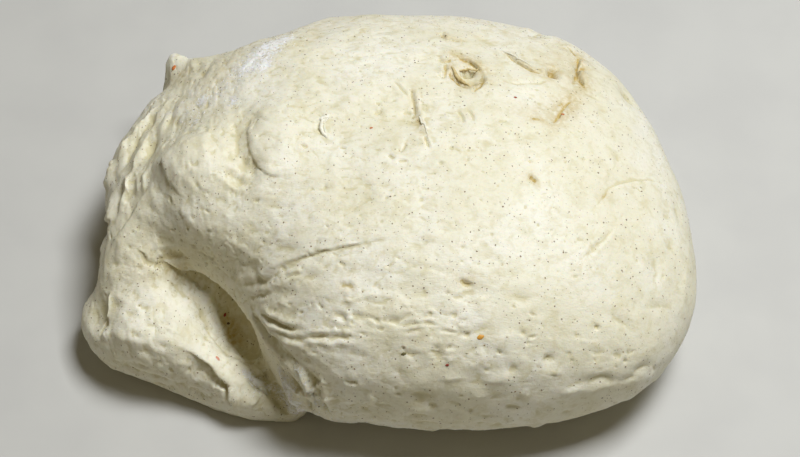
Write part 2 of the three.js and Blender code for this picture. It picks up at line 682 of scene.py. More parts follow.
@dataclass(frozen=True)
class Fan:
    """Stretch wrinkles that spread from one place.

    Attributes:
        root: where they start, in mm.
        first: the first one's plan direction, in degrees.
        last: the last one's.
        count: how many there are.
        length: the shortest and the longest, in mm.
        width: half the width of the narrowest and the widest, in mm.
        depth: the shallowest and the deepest, in mm.
        away: how far from the root the wrinkles may begin, in mm.
        turn: how many degrees they bend by.
        seed: which draw of sizes this is.
    """

    root: Point
    first: float
    last: float
    count: int
    length: tuple[float, float]
    width: tuple[float, float]
    depth: tuple[float, float]
    away: float = 8.0
    turn: float = 12.0
    seed: int = 1

    STRAY = 3.0  # degrees that a wrinkle strays from its even place in the fan
    NEAREST = 2.0  # mm from the root to the nearest that a wrinkle begins
    LIP = 0.45  # the part of a wrinkle's depth by which the skin beside it stands up
    ENDS = 0.45  # the part of a wrinkle over which each end dies away

    def work(self, skin: Skin) -> None:
        """Presses each wrinkle in, with a soft ridge on both sides."""
        rng = np.random.default_rng(self.seed)
        for heading in np.linspace(self.first, self.last, self.count):
            angle = heading + rng.normal(0.0, self.STRAY)
            start = skin.walk(self.root, angle, rng.uniform(self.NEAREST, self.NEAREST + self.away))[-1]
            path = skin.walk(start, angle, rng.uniform(*self.length), rng.uniform(-self.turn, self.turn))
            depth = rng.uniform(*self.depth)
            Mark(path, rng.uniform(*self.width), -depth, self.LIP * depth, self.ENDS).work(skin)


@dataclass(frozen=True)
class Strewn:
    """Small pits, slits and ridges strewn over a part of the skin, where it has torn or been drawn out.

    Attributes:
        low: one corner of the plan that they lie in, in mm.
        high: the opposite corner.
        count: how many there are.
        length: the shortest and the longest, in mm.
        width: half the width of the narrowest and the widest, in mm.
        rise: how far the lowest and the highest stand up, in mm. Pits and slits are negative.
        heading: their mean plan direction, in degrees.
        spread: how far they stray from it.
        turn: how many degrees the most bent one bends by.
        facing: the least upward part of the way that the skin faces under them.
        seed: which draw this is.
    """

    low: tuple[float, float]
    high: tuple[float, float]
    count: int
    length: tuple[float, float]
    width: tuple[float, float]
    rise: tuple[float, float]
    heading: float = 0.0
    spread: float = 90.0
    turn: float = 20.0
    facing: float = 0.2
    seed: int = 2

    LIP = 0.3  # the part of a pit's depth by which the skin beside it stands up
    ENDS = 0.5  # the part of a mark over which each end dies away

    def work(self, skin: Skin) -> None:
        """Works each one in."""
        rng = np.random.default_rng(self.seed)
        places = skin.open_places(self.low, self.high, self.facing)
        for place in rng.choice(places, self.count):
            angle = self.heading + rng.uniform(-self.spread, self.spread)
            start = tuple(skin.points[place])
            path = skin.walk(start, angle, rng.uniform(*self.length), rng.uniform(-self.turn, self.turn))
            rise = rng.uniform(*self.rise)
            Mark(path, rng.uniform(*self.width), rise, -self.LIP * min(rise, 0.0), self.ENDS).work(skin)


Tool = Mark | Fold | Swell | Drag | Fan | Strewn


# ---------------------------------------------------------------------------------------------------------
# What the kneading left on this dough, region by region, in mm
# ---------------------------------------------------------------------------------------------------------

# Places that were rubbed smooth first: where, how far round, and how many times.
RUBBED: tuple[tuple[Point, float, int], ...] = (
    ((-68, -42, 27), 14, 14),
    ((-60, -48, 24), 9, 8),
    ((-95, -18, 33), 12, 10),
    ((-66, -20, 50), 12, 8),
    ((-42, -60, 14), 7, 4),
)

BROAD_SHAPE: tuple[Tool, ...] = (
    Swell((-66, -21, 52), 12, 3.5),
    Swell((-54, -29, 54), 10, 2.0),
    Swell((-80, -17, 47), 10, 1.5),
    Swell((-66, -34, 24), 9, 4.5),
    Swell((-59, -40, 17), 8, 2.5),
    Swell((-60, 0, 56), 17, 3.0),
    Drag((108, -8, 28), 22, (1.4, 0, 0)),
    Swell((-73, 56, 38), 8, 2.5),
    Drag((-78, 61, 38.5), 8, (-1.2, 1.6, 3.2)),
    Swell((-68, 57, 44), 6, 2.0),
    Swell((-20, -76, 8), 10, 1.5),
    Swell((-38, 4, 67), 12, 2.6, flat=1.4),
    Swell((58, 20, 67), 9, -1.0),
)

BUMP: tuple[Tool, ...] = (
    Mark(((-51, 14, 64), (-50, 5, 65), (-49, -3, 65), (-45, -10, 66), (-40, -14, 67)), 6.0, -3.1),
    Fold(
        ((-47, 13, 66), (-46, 5, 66), (-45.3, -2, 66.5), (-43.3, -7.5, 67), (-40, -11.5, 67.5),
         (-36, -13.3, 68.5), (-31.5, -14, 69.5), (-26, -14, 70.5)),
        Over.LEFT, rise=0.45, reach=9, under=0.4, tuck=6.0, lean=0.05, ends=0.45,
    ),
    Swell((-71, -1, 58), 9, 2.2),
    Swell((-37, 34, 64), 11, -1.5),
    Swell((-64, -5, 63), 12, 3.6, flat=1.3),
    Fold(
        ((-62, 14, 62.5), (-68.5, 7, 61), (-72.5, -0.5, 59), (-70.5, -9.5, 58), (-64, -17, 58)),
        Over.LEFT, rise=0.5, reach=7, under=0.5, tuck=6, lean=0.4, ends=0.45,
    ),
    Mark(((-60, 6, 65), (-57, 0, 66.5), (-57.5, -6, 66)), 1.6, -0.8, lip=0.4),
    Mark(((-55, -9, 68), (-51, -13, 67.5), (-46, -16, 67.5)), 1.3, -0.7, lip=0.5),
    Strewn((-70, -18), (-46, 12), 26, (2, 6), (0.8, 1.7), (-0.7, 0.6), heading=-50, spread=50, seed=41),
    Mark(((-29.5, -2, 69), (-27.7, -3, 69.7), (-26, -3, 70)), 0.6, -0.9, lip=0.3),
    Mark(((-20, 11.2, 71.7), (-20.7, 9.2, 71.4), (-21.3, 6.6, 71.3)), 0.5, 0.9),
    Mark(((-21.3, 7.5, 71.3), (-20.7, 3.5, 71.4), (-19.9, 0.9, 71.4)), 0.9, 1.2),
    Mark(((-22.4, 8, 71.3), (-22.4, 4.5, 71.3), (-21.8, 1.5, 71.4)), 0.8, -0.8),
)

TORN_HOLE: tuple[Tool, ...] = (
    Swell((29, 31, 69), 4.8, -3.0, flat=1.5),
    Swell((22.5, 44, 66), 3.0, 0.9),
    Fold(((19, 41, 67.3), (21, 39.8, 67.6), (23.5, 40.8, 67)), Over.LEFT, 0.7, 2.5, 1.6, 1.4, lean=0.5),
    Fold(
        ((25.5, 42, 66.2), (29.4, 40.2, 66.6), (32.6, 37.4, 67.2), (34.6, 33.3, 68.2)),
        Over.LEFT, rise=0.7, reach=2.6, under=1.6, tuck=1.8, lean=0.8,
    ),
    Fold(
        ((34.6, 33.8, 68), (35.2, 29.4, 69.2), (34, 25.1, 70.4), (31.7, 22.2, 71.2)),
        Over.LEFT, 0.5, 2, 1.1, 2,
    ),
    Mark(((26.5, 34.2, 68.6), (29.8, 34.8, 68.3), (32.4, 35.6, 67.9)), 1.3, -4.5),
    Mark(((23.4, 35.7, 68.6), (24.9, 31.1, 69.7), (27.3, 27.6, 70.4), (30.1, 25.3, 70.7)), 1.2, 1.0),
    Mark(((22.6, 33.5, 69), (24.0, 29.5, 70), (26.6, 26.2, 70.6), (29.6, 23.8, 71)), 0.7, -2.0),
    Mark(((27.4, 31.5, 69.3), (30, 28.8, 70), (33, 27.4, 70)), 0.8, -2.0),
    Swell((27.5, 35.4, 68.3), 1.5, 1.5),
    Mark(((31, 21.6, 71.4), (32.4, 25.2, 70.5)), 0.45, -1.2, lip=0.3),
    Mark(((21.3, 37.4, 68.3), (21.2, 33.1, 69.5), (20.6, 28, 70.7)), 0.55, -1.5, lip=0.5),
    Mark(((18.3, 30.7, 70), (20.4, 28.6, 70.6)), 0.5, -0.9),
    Fold(
        ((19.7, 57.2, 61.4), (22, 54.7, 62.2), (24.8, 53.7, 62.2), (27.6, 52.4, 62.3)),
        Over.LEFT, rise=0.4, reach=2, under=2.4, tuck=1.1, lean=0.4,
    ),
)

UPPER_RIGHT: tuple[Tool, ...] = (
    Fold(
        ((43, 48, 62), (47.8, 42.3, 63.5), (51.6, 38.5, 64.2), (56, 35.6, 64.2)),
        Over.LEFT, rise=0.6, reach=3, under=1.2, tuck=1.3, lean=0.7,
    ),
    Mark(
        ((40, 29.3, 68.7), (45.7, 28.6, 68), (52.2, 29.6, 66.6), (56.6, 31.7, 65), (59, 33.5, 64)),
        1.0, -0.6,
    ),
    Mark(((60, 41.5, 61.3), (60, 37.4, 62.7), (59.7, 33.8, 63.8)), 1.6, -3.4, lip=0.5),
    Fold(
        ((71, 54, 52.3), (71.2, 47.9, 55.1), (70.5, 42.6, 57.5), (70.9, 37.7, 58.9), (71.6, 31.5, 60.3)),
        Over.LEFT, rise=1.0, reach=4, under=2.6, tuck=2.4, lean=1.0,
    ),
    Mark(((71, 47.5, 55.3), (70.6, 42.5, 57.5)), 1.4, -3.2),
    Mark(((54, 62, 57), (57, 68, 51), (60, 74, 42)), 2.5, -1.2, lip=0.3),
    Swell((67, 63, 46), 9, 1.0),
    Mark(((70.3, 42, 57.6), (68.7, 38.6, 59.5), (66.4, 31.6, 62.4)), 1.1, -1.0),
    Mark(((66, 59.8, 51.2), (68.4, 56.8, 51.9), (69.5, 52.1, 54)), 0.7, -1.0, lip=0.3),
    Fold(
        ((66, 24, 64.3), (62.9, 17.5, 66.4), (60.9, 13, 67.7), (58.6, 9.6, 68.7)),
        Over.LEFT, rise=0.6, reach=3.5, under=1.5, tuck=1.8, lean=0.5,
    ),
    Mark(((50.7, 10.6, 70.4), (54.2, 11.2, 69.7)), 0.6, -0.9, lip=0.2),
    Mark(((38.8, 7.9, 72.5), (42.4, 8, 72.1)), 0.5, -0.9, lip=0.2),
)

MIDDLE: tuple[Tool, ...] = (
    Mark(
        ((10.8, 25, 71.6), (11.5, 17, 72.7), (13, 6.4, 73.7), (13.9, 2.4, 73.8), (16.5, -2, 74)),
        0.9, 0.9,
    ),
    Mark(((9.2, 24, 71.8), (9.7, 17, 72.7), (10.2, 11.8, 73.2), (9.2, 8.5, 73.4)), 0.45, -0.9),
    Mark(((3, 27, 71.8), (6, 22, 72.3), (8.6, 19, 72.5)), 0.5, -0.6, lip=0.3),
    Mark(((13.2, 0.5, 73.9), (14.4, -2.3, 74), (15.2, -5.4, 74)), 0.5, -1.1, lip=0.4),
    Mark(((6.2, 11.9, 73.1), (7.6, 12.3, 73.1), (9.4, 11.2, 73.2)), 0.5, -0.8),
    Mark(((-4.4, 12.4, 72.7), (-2.4, 11.8, 72.8), (-0.7, 13.6, 72.8)), 0.7, -1.1),
    Mark(((-3.4, 15.9, 72.5), (-1.3, 15.9, 72.5)), 0.5, -1.0),
    Mark(((4.1, -3.2, 73.5), (5.3, -5.9, 73.6), (6.6, -4.4, 73.7), (7.9, -0.8, 73.7)), 0.45, -0.7),
    Mark(((0.8, -7.4, 73.4), (3.3, -9.3, 73.5)), 0.7, -1.0, lip=0.2),
    Mark(((4.2, -10.2, 73.5), (7.6, -10.3, 73.6)), 0.45, -1.0, lip=0.3),
    Mark(((-15.9, -3, 72), (-12.8, -3.9, 72.2)), 0.45, -0.7, lip=0.2),
    Mark(((20.4, 11, 73.3), (23.9, 6.2, 73.6)), 1.0, 0.6),
    Swell((22.9, -5, 74), 0.9, -0.9),
    Mark(((49, -14.4, 71.2), (51.2, -17.3, 70.8)), 0.9, -1.5, lip=0.3),
    Swell((7, 9, 73), 5.5, -0.9),
    Mark(((24.5, 13, 72.9), (26.5, 9.5, 73.3), (27, 6, 73.5)), 0.45, -0.8, lip=0.3),
    Mark(((28, 13.5, 72.6), (30, 10, 73), (30.6, 6.5, 73.2)), 0.45, -0.7, lip=0.2),
    Strewn((18, -11), (33, -2), 8, (0.8, 2.5), (0.4, 0.8), (-0.9, -0.3), spread=60, seed=81),
    Mark(((48.6, -8, 71.6), (50.2, -8.5, 71.5)), 0.6, -0.8),
    Swell((26.6, -55, 65.7), 3.0, -0.8),
    Mark(((24.4, -53, 66.2), (27, -54.8, 65.8), (29.4, -55.4, 65.6)), 0.7, -1.0, lip=0.3),
)

RIGHT_SIDE: tuple[Tool, ...] = (
    Fold(
        ((101, -3, 48), (92, -5, 55), (82, -10.4, 61), (77.9, -13.3, 63), (74.3, -18.9, 64),
         (71.1, -24.2, 65), (68.5, -28, 65)),
        Over.LEFT, rise=0.35, reach=5, under=0.55, tuck=3.0, lean=0.2, ends=0.4,
    ),
    Mark(((78, -28, 61.5), (73.5, -34.7, 62.4), (69.8, -39.1, 62.8), (65, -44, 63)), 0.8, -0.4, lip=0.25),
    Mark(((60, 6, 69), (50, 2, 71), (38, -2, 73), (26, -2, 74)), 2.4, -0.35, lip=0.25),
    Swell((70.5, -64, 53.5), 0.8, -1.3),
    Swell((89.5, 40, 47), 5, -2.2),
    Strewn(
        (76, -52), (112, 14), 26, (6, 20), (1.0, 2.6), (-0.5, 0.45), heading=-82, spread=16, facing=-0.4,
        seed=71,
    ),
)

FRONT: tuple[Tool, ...] = (
    Fold(
        ((-43, -43.5, 52), (-37, -43, 58), (-31.9, -42.7, 61), (-27.2, -42.2, 63.3), (-20.6, -41.6, 65.7),
         (-12.5, -41, 67.8), (-2, -39.5, 69.7), (8, -38.5, 70.8)),
        Over.LEFT, rise=0.5, reach=4, under=0.7, tuck=3.0, lean=0.3, ends=0.45,
    ),
    Mark(((-34, -47.4, 57.5), (-30.5, -47.3, 59.7), (-27, -47, 61.2)), 0.6, -0.52, lip=0.3),
    Mark(((-49, -39.5, 41), (-43.5, -44, 49.6), (-35.5, -48.7, 55.3)), 1.3, -0.52, lip=0.35),
    Swell((-48.5, -39, 44.5), 3.0, 1.2),
    Swell((-43, -42.8, 51.4), 2.2, -1.1),
    Mark(((-46, -46.5, 37), (-42.3, -51.7, 43.4), (-38.6, -55, 47)), 0.8, 0.52),
    Mark(((-36, -53, 52.2), (-32.5, -55.6, 53.6)), 0.8, 0.37),
    Mark(((-23, -57.4, 58.3), (-21.5, -58.4, 58.4), (-20.2, -60, 58)), 0.9, -0.63),
    Mark(((-17.3, -61.5, 58), (-15, -62.2, 58.4), (-11.5, -64.2, 58)), 0.9, -0.58, lip=0.3),
    Mark(
        ((-6.2, -63.4, 59.7), (-4, -64.2, 59.6), (-1.7, -65.2, 59.4), (1.3, -64.9, 60)),
        0.6, -0.42, lip=0.2,
    ),
    Mark(
        ((-30, -65.2, 48), (-25.3, -66.4, 50.7), (-21.5, -66.9, 52.5), (-17.9, -67.8, 53.2),
         (-9, -68.8, 55.2)),
        0.9, -0.73, lip=0.6,
    ),
    Mark(((-39.5, -58.3, 41), (-35.4, -62.2, 44.2), (-32.3, -63.3, 47.3)), 1.7, -0.63, lip=0.4),
    Mark(((-14.8, -53.6, 62.9), (-12.3, -53.9, 63.4), (-9.8, -55.2, 63.3)), 0.8, -0.52, lip=0.4),
    Mark(
        ((4, -67.2, 58.9), (8.8, -66.7, 59.7), (14.6, -66.6, 60.2), (18.6, -67.3, 59.8)),
        0.6, -0.47, lip=0.3,
    ),
    Mark(((-2, -62, 62), (8, -61, 63), (18, -61.5, 63)), 2.6, 0.32),
    Fan((-49, -42, 38), -48, 22, 17, (14, 40), (0.9, 2.0), (0.35, 0.8), away=8, turn=14, seed=11),
    Fan((-45, -48, 38), -70, -10, 10, (12, 30), (0.9, 1.8), (0.3, 0.7), away=10, turn=16, seed=12),
)

TONGUE: tuple[Tool, ...] = (
    Fold(
        ((-69, -56, 26.5), (-62.1, -59, 23.4), (-58.6, -61.9, 20.6), (-55.5, -63.9, 18.5),
         (-54.1, -65.7, 16.7), (-53.9, -68.6, 12.8), (-51.9, -70.2, 9.7)),
        Over.LEFT, rise=1.3, reach=5, under=1.3, tuck=5, lean=0.8, ends=0.3,
    ),
    Mark(((-49.3, -60.5, 18.4), (-47.8, -66.1, 15.5), (-45.8, -71, 9.8)), 2.4, 1.0),
    Swell((-49.8, -68, 12), 5, 1.6),
    Mark(
        ((-48, -61.3, 17.5), (-45.5, -63.6, 15.9), (-43.3, -65.2, 14.6), (-40.5, -67.4, 13)),
        0.9, -1.3, lip=0.5,
    ),
    Mark(((-47.8, -55.1, 17.6), (-46, -57.2, 16.4), (-43.9, -57.2, 12.9), (-41.3, -57.2, 10.8)), 1.5, 1.2),
    Mark(((-39.8, -66.4, 13.5), (-35.9, -70.3, 9.9), (-34, -72, 5.5)), 1.6, -2.2, lip=0.6),
    Mark(((-36.5, -66, 29.5), (-32.1, -71.1, 28.8), (-28, -74.8, 27.4)), 1.8, 1.5),
    Mark(((-25, -76, 33.5), (-23.6, -77, 29), (-22.3, -77.7, 25.5)), 1.0, -1.6, lip=0.4),
    Mark(((-37, -64, 36.8), (-33.2, -68.6, 37.4), (-29, -73, 36)), 0.7, 0.7),
)

FLAP: tuple[Tool, ...] = (
    Mark(
        ((-96, -49, 26), (-93.9, -50.2, 26.6), (-84.1, -53.7, 28.3), (-73.4, -55.1, 27.9),
         (-63.2, -58.1, 24.2), (-55, -64.2, 18.2)),
        4.5, 1.7, ends=0.2,
    ),
    Mark(
        ((-97, -55, 15), (-88, -60, 14), (-77, -64, 12.5), (-67, -67, 11), (-59, -70, 8)),
        6.0, -2.4, ends=0.2,
    ),
    Mark(((-90, -41, 32), (-80, -43, 33), (-70, -46, 31)), 5.0, -0.8, ends=0.4),
    Strewn(
        (-102, -72), (-54, -48), 46, (3, 10), (0.9, 1.9), (-0.8, 0.7), heading=-20, spread=25, facing=-0.7,
        seed=61,
    ),
    Strewn(
        (-102, -50), (-66, -22), 30, (3, 12), (1.0, 2.2), (-0.6, 0.5), heading=35, spread=25, facing=0.0,
        seed=62,
    ),
)

POCKET: tuple[Tool, ...] = (
    Mark(
        ((-76, -31, 32), (-70, -34, 30), (-62.5, -40, 26), (-56, -49, 23.5), (-50, -55.5, 19.5)),
        5.0, -2.6, ends=0.15,
    ),
    Fold(
        ((-79, -27.5, 39), (-75, -26.8, 35.5), (-70.3, -27, 34.5), (-64.5, -29.4, 36.5),
         (-59.1, -32.7, 36.6), (-54, -36.8, 36.2), (-49.8, -40.3, 36), (-46.9, -44.2, 34.6),
         (-44.1, -51.2, 35.6), (-41.9, -56.6, 34.9), (-39.8, -60.6, 33.6)),
        Over.LEFT, rise=1.0, reach=7, under=2.2, tuck=4.5, lean=3.2, ends=0.3,
    ),
    Swell((-54, -37, 14), 7, -1.6),
)

LEFT_SIDE: tuple[Tool, ...] = (
    Mark(((-84.4, 33, 46.4), (-84.4, 25.3, 48), (-84.2, 15, 49.6), (-83.5, 4, 51)), 3.2, -1.8),
    Mark(((-82, 37, 49), (-92.5, 22, 43.5), (-96.5, 12.5, 41)), 1.8, 1.5, lip=-0.3),
    Mark(((-85, 32, 49), (-91, 18, 46), (-93.5, 6, 45)), 1.6, -1.1),
    Mark(((-78, 40, 52), (-84, 27, 50), (-87.3, 13.2, 49.5), (-90, 0.7, 48)), 2.0, 1.3),
    Mark(((-88, 8, 49), (-91, -2, 47.5), (-93.5, -12, 44)), 1.7, 1.2),
    Mark(((-98.5, 3, 39.6), (-97, -9.4, 40.5), (-98, -19, 38)), 1.8, 1.0),
    Swell((-99, 12, 39), 1.8, 1.6),
    Swell((-98.5, 15, 38), 1.2, 1.2),
    Fold(
        ((-96, -20, 38), (-91, -18, 43), (-85, -12, 47.5), (-79, -6, 53)),
        Over.RIGHT, rise=0.9, reach=5, under=1.0, tuck=3.5, lean=0.5, ends=0.4,
    ),
    Mark(((-91.2, 5, 46.5), (-88.9, -5.5, 47.6)), 1.2, 1.0),
    Mark(((-87.4, 4.5, 49), (-85, -7, 49.7)), 1.2, 0.9),
    Mark(((-83.4, 2, 51), (-82, -8.2, 51)), 1.2, 0.9),
    Swell((-100, 9, 36), 3.0, 1.6),
    Fold(
        ((-100, -4.5, 32.5), (-95.9, -9.5, 36.2), (-91.5, -12.6, 38.8)),
        Over.LEFT, 1.2, 5, 1.5, 3, lean=0.6,
    ),
    Mark(((-94.4, -11.8, 35), (-96.3, -11, 29), (-97, -9, 23)), 1.1, -1.8, lip=0.4),
    Mark(
        ((-92, -21, 22.5), (-86.7, -17.4, 26.6), (-79.7, -20.6, 37.4), (-74, -21.2, 41.6), (-62, -25, 47)),
        1.8, 0.9,
    ),
    Mark(((-90, -24, 25), (-82, -22.5, 33), (-75, -24.5, 38), (-66, -27.5, 42)), 1.4, -0.8),
    Swell((-101.5, -41, 25.5), 5.5, -2.2, flat=1.4),
    Mark(((-94, -33, 29.8), (-95.4, -38.7, 29.8), (-97.3, -43, 28), (-98.8, -45.6, 26)), 1.1, 1.2),
    Mark(((-97, -43.8, 28), (-99.2, -46.7, 25), (-100.6, -48, 22.5)), 0.8, -1.5),
    Swell((-97.6, -48.8, 25), 2.2, 1.3),
)

STREAKS: tuple[Tool, ...] = (
    Strewn((-110, -20), (-62, 62), 56, (7, 22), (1.1, 2.8), (-0.65, 0.6), heading=-75, spread=24, seed=31),
    Strewn((-66, 10), (-20, 75), 40, (5, 16), (1.0, 2.4), (-0.45, 0.4), heading=-50, spread=35, seed=32),
    Strewn(
        (-106, -62), (-52, -28), 40, (5, 18), (1.0, 2.4), (-0.5, 0.5), heading=-35, spread=24, facing=-0.2,
        seed=33,
    ),
    Strewn(
        (-50, -86), (95, -52), 80, (7, 26), (1.2, 3.2), (-0.6, 0.5), heading=-4, spread=18, facing=-0.6,
        seed=34,
    ),
    Strewn((-55, -60), (10, -20), 40, (6, 22), (0.9, 2.2), (-0.45, 0.35), heading=-14, spread=22, seed=35),
    Strewn((10, -60), (90, 30), 30, (6, 22), (1.4, 3.6), (-0.28, 0.28), heading=-35, spread=40, seed=36),
    Strewn((-20, 20), (80, 80), 36, (4, 16), (1.0, 2.4), (-0.35, 0.35), heading=-30, spread=60, seed=37),
)

HEM: tuple[Tool, ...] = (
    Mark(((-46.5, -60, 17), (-42.7, -65.8, 14.2), (-39.9, -69.5, 11.6), (-37.6, -71.6, 8.3)), 1.6, 1.8),
    Mark(((-36.2, -66, 28), (-31.7, -71.5, 24), (-29.2, -72.2, 18.3), (-28, -71, 10)), 1.6, 2.3),
    Mark(((-29.8, -71, 41), (-26.4, -75.1, 34.8), (-23.2, -77.3, 28.6), (-20.3, -78, 21.7)), 1.6, 2.1),
    Mark(((-23, -74, 44), (-20.2, -77.7, 35.9), (-18.5, -79.1, 27), (-16, -80, 18)), 1.8, 1.6),
    Mark(((-33, -69, 34), (-29.5, -73.2, 30), (-26.4, -75, 24), (-24, -75, 15)), 1.1, -2.0),
    Mark(((-26.5, -73, 42), (-23.4, -76.4, 35.5), (-21, -78.2, 28), (-18, -79, 20)), 1.1, -1.8),
    Mark(((-42, -62, 16), (-38, -68, 13.5), (-35, -71, 9)), 1.2, -1.2),
    Strewn((-22, -69), (30, -57), 60, (2.5, 9), (0.5, 1.4), (-0.5, 0.65), heading=-5, spread=22, seed=53),
    Strewn(
        (-32, -92), (104, -70), 120, (4, 14), (1.2, 2.8), (-1.15, 0.85), heading=-6, spread=28,
        facing=-0.85, seed=51,
    ),
    Strewn(
        (-45, -92), (104, -62), 150, (1, 4), (0.5, 1.1), (-0.7, 0.3), heading=-6, spread=60, facing=-0.85,
        seed=52,
    ),
)

SMALL_MARKS: tuple[Tool, ...] = (
    Strewn(
        (-75, -50), (95, 60), 190, (0.6, 2.4), (0.35, 0.6), (-0.55, -0.15), heading=-5, spread=60, seed=21,
    ),
    Strewn(
        (-105, -78), (70, -20), 130, (0.8, 4.0), (0.4, 0.8), (-0.6, -0.15), heading=-10, spread=45, seed=22,
    ),
    Strewn(
        (-105, -20), (-50, 60), 90, (0.8, 4.0), (0.4, 0.9), (-0.7, 0.6), heading=-70, spread=50, seed=23,
    ),
)


@dataclass(frozen=True)
class Daub:
    """A patch painted along a path: flour that has stayed on the skin, and likewise the ochre patches.

    Attributes:
        path: the path's points, in mm.
        reach: how far it spreads, in mm.
        amount: how thick it is, up to 1.
    """

    path: Path
    reach: float
    amount: float


FLOUR: tuple[Daub, ...] = (
    Daub(((-38, 53, 61), (-42, 47, 63), (-46, 40, 64)), 6.0, 1.0),
    Daub(((-46, 40, 64), (-56, 30, 61), (-66, 20, 56)), 7.0, 0.35),
    Daub(((-52.3, 21.7, 63),), 2.2, 0.9),
    Daub(((-64.4, 28.6, 57),), 2.2, 0.8),
    Daub(((-64.4, 15.9, 57),), 2.0, 0.7),
    Daub(((-47.5, -60, 18), (-44, -63, 15.5), (-42, -65, 14)), 2.2, 0.9),
    Daub(((-34, -69, 29), (-31, -72, 28)), 2.4, 0.9),
    Daub(((-38, -65, 13), (-34, -70, 10), (-31, -72, 7)), 2.2, 0.8),
    Daub(((-30, -73, 20), (-26, -77, 15), (-10, -79, 12)), 5.0, 0.55),
    Daub(((-36, -66, 28), (-31.7, -71.5, 24), (-29, -72.5, 17)), 2.6, 0.9),
    Daub(((-30, -71, 40), (-26.4, -75.1, 34.8), (-22, -77.6, 26)), 2.2, 0.6),
    Daub(((-5, -79, 16), (30, -80, 12), (60, -77, 12)), 5.0, 0.3),
)

# Ochre patches, most on torn and creased dough, and broad, weak ones that darken and yellow wide parts of
# the top; the finish deepens them as painted shade in creases and hollows.
OCHRE: tuple[Daub, ...] = (
    Daub(((23, 35, 68.6), (25, 30, 69.8), (29.5, 26, 70.5), (34, 28, 69.8)), 3.0, 1.0),
    Daub(((24, 42, 66.5), (28, 41, 66.5), (31, 38, 67), (34.5, 34.5, 68)), 3.0, 1.0),
    Daub(((19, 57, 61.4), (27, 53, 62.2)), 2.0, 0.5),
    Daub(((45, 45.5, 63), (51, 39, 64.1), (56, 35.6, 64.2)), 1.8, 0.7),
    Daub(((60, 42, 61.2), (59.8, 35, 63.5)), 2.6, 0.8),
    Daub(((71, 54, 52.5), (70.7, 42, 57.7), (70.5, 32, 60.3)), 3.6, 1.0),
    Daub(((66, 62, 50), (64, 48, 58)), 5.0, 0.4),
    Daub(((66, 26, 63.8), (63, 18, 66), (58, 9, 69)), 3.6, 0.75),
    Daub(((48, 14, 70), (56, 16, 69), (66, 22, 65)), 4.0, 0.35),
    Daub(((-95, -12, 34), (-96.5, -11, 27)), 3.4, 1.0),
    Daub(((75, -17.5, 63.9),), 2.6, 0.5),
    Daub(((-14, -53.7, 63), (-10.5, -54.8, 63.3)), 1.8, 0.6),
    Daub(((25, -53.5, 66), (28.5, -55, 65.6)), 2.4, 0.6),
    Daub(((50.7, 10.6, 70.4), (54.2, 11.2, 69.7)), 1.3, 1.0),
    Daub(((49, -14.4, 71.2), (51.2, -17.3, 70.8)), 1.7, 1.0),
    Daub(((58, 44, 61), (66, 34, 62), (62, 20, 66)), 9.0, 0.22),
    Daub(((-64, 38, 57), (-36, 62, 59), (-10, 74, 57)), 15.0, 0.26),
    Daub(((20, 74, 57), (48, 66, 56)), 12.0, 0.22),
    Daub(((-84, -30, 34), (-72, -27, 36)), 6.0, 0.22),
    Daub(((-57, -38, 13.5), (-54, -44, 13)), 3.6, 0.7),
    Daub(((10, 26, 71.6), (11, 12, 73), (13, 0, 73.9)), 1.8, 0.5),
    Daub(((-78, 52, 40), (-73, 50, 44)), 4.0, 0.4),
)


# ---------------------------------------------------------------------------------------------------------
# The dough itself
# ---------------------------------------------------------------------------------------------------------


def linked(name: str, mesh: bpy.types.Mesh) -> bpy.types.Object:
    """Puts a mesh in the scene as an object at the origin."""
    piece = bpy.data.objects.new(name, mesh)
    bpy.context.scene.collection.objects.link(piece)
    return piece


def settled(piece: bpy.types.Object, name: str) -> bpy.types.Object:
    """Turns a piece with modifiers into a plain mesh.

    Args:
        piece: the piece, which is removed.
        name: the new piece's name.

    Returns:
        The new piece.
    """
    graph = bpy.context.evaluated_depsgraph_get()
    mesh = bpy.data.meshes.new_from_object(piece.evaluated_get(graph), depsgraph=graph)
    mesh.name = name
    bpy.data.objects.remove(piece)
    return linked(name, mesh)


SOCKET_KINDS = {
    float: "NodeSocketFloat",
    int: "NodeSocketInt",
    bpy.types.Material: "NodeSocketMaterial",
}


def grow(piece: bpy.types.Object, tree: bpy.types.NodeTree, sizes: dict[str, object]) -> None:
    """Hangs a geometry node tree on a piece.

    Args:
        piece: the piece.
        tree: the tree.
        sizes: values for its named inputs.
    """
    modifier = piece.modifiers.new(tree.name, "NODES")
    modifier.node_group = tree
    for item in tree.interface.items_tree:
        if item.item_type == "SOCKET" and item.in_out == "INPUT" and item.name in sizes:
            modifier[item.identifier] = sizes[item.name]


def geometry_tree(name: str, sizes: dict[str, object]) -> tuple[Net, dict[str, Wire]]:
    """Starts a geometry node tree.

    Args:
        name: its name.
        sizes: values for its named inputs after the geometry, which say what kind of socket each one has.

    Returns:
        The tree, and all its inputs by name.
    """
    tree = bpy.data.node_groups.new(name, "GeometryNodeTree")
    tree.interface.new_socket("Geometry", in_out="INPUT", socket_type="NodeSocketGeometry")
    for label, value in sizes.items():
        tree.interface.new_socket(label, in_out="INPUT", socket_type=SOCKET_KINDS[type(value)])
    tree.interface.new_socket("Geometry", in_out="OUTPUT", socket_type="NodeSocketGeometry")
    net = Net(tree)
    given = net.make("NodeGroupInput", {}, {})
    return net, {label: Wire(net, given.outputs[label]) for label in ("Geometry", *sizes)}


def close_tree(net: Net, geometry: Wire, finish: Wire) -> bpy.types.NodeTree:
    """Ends a geometry node tree with plain faces in one finish.

    Args:
        net: the tree.
        geometry: what it has made.
        finish: the material.

    Returns:
        The whole tree.
    """
    plain = net.add("GeometryNodeRealizeInstances", {}, {"Geometry": geometry})
    dressed = net.add("GeometryNodeSetMaterial", {}, {"Geometry": plain, "Material": finish})
    net.make("NodeGroupOutput", {}, {0: dressed})
    return net.tree


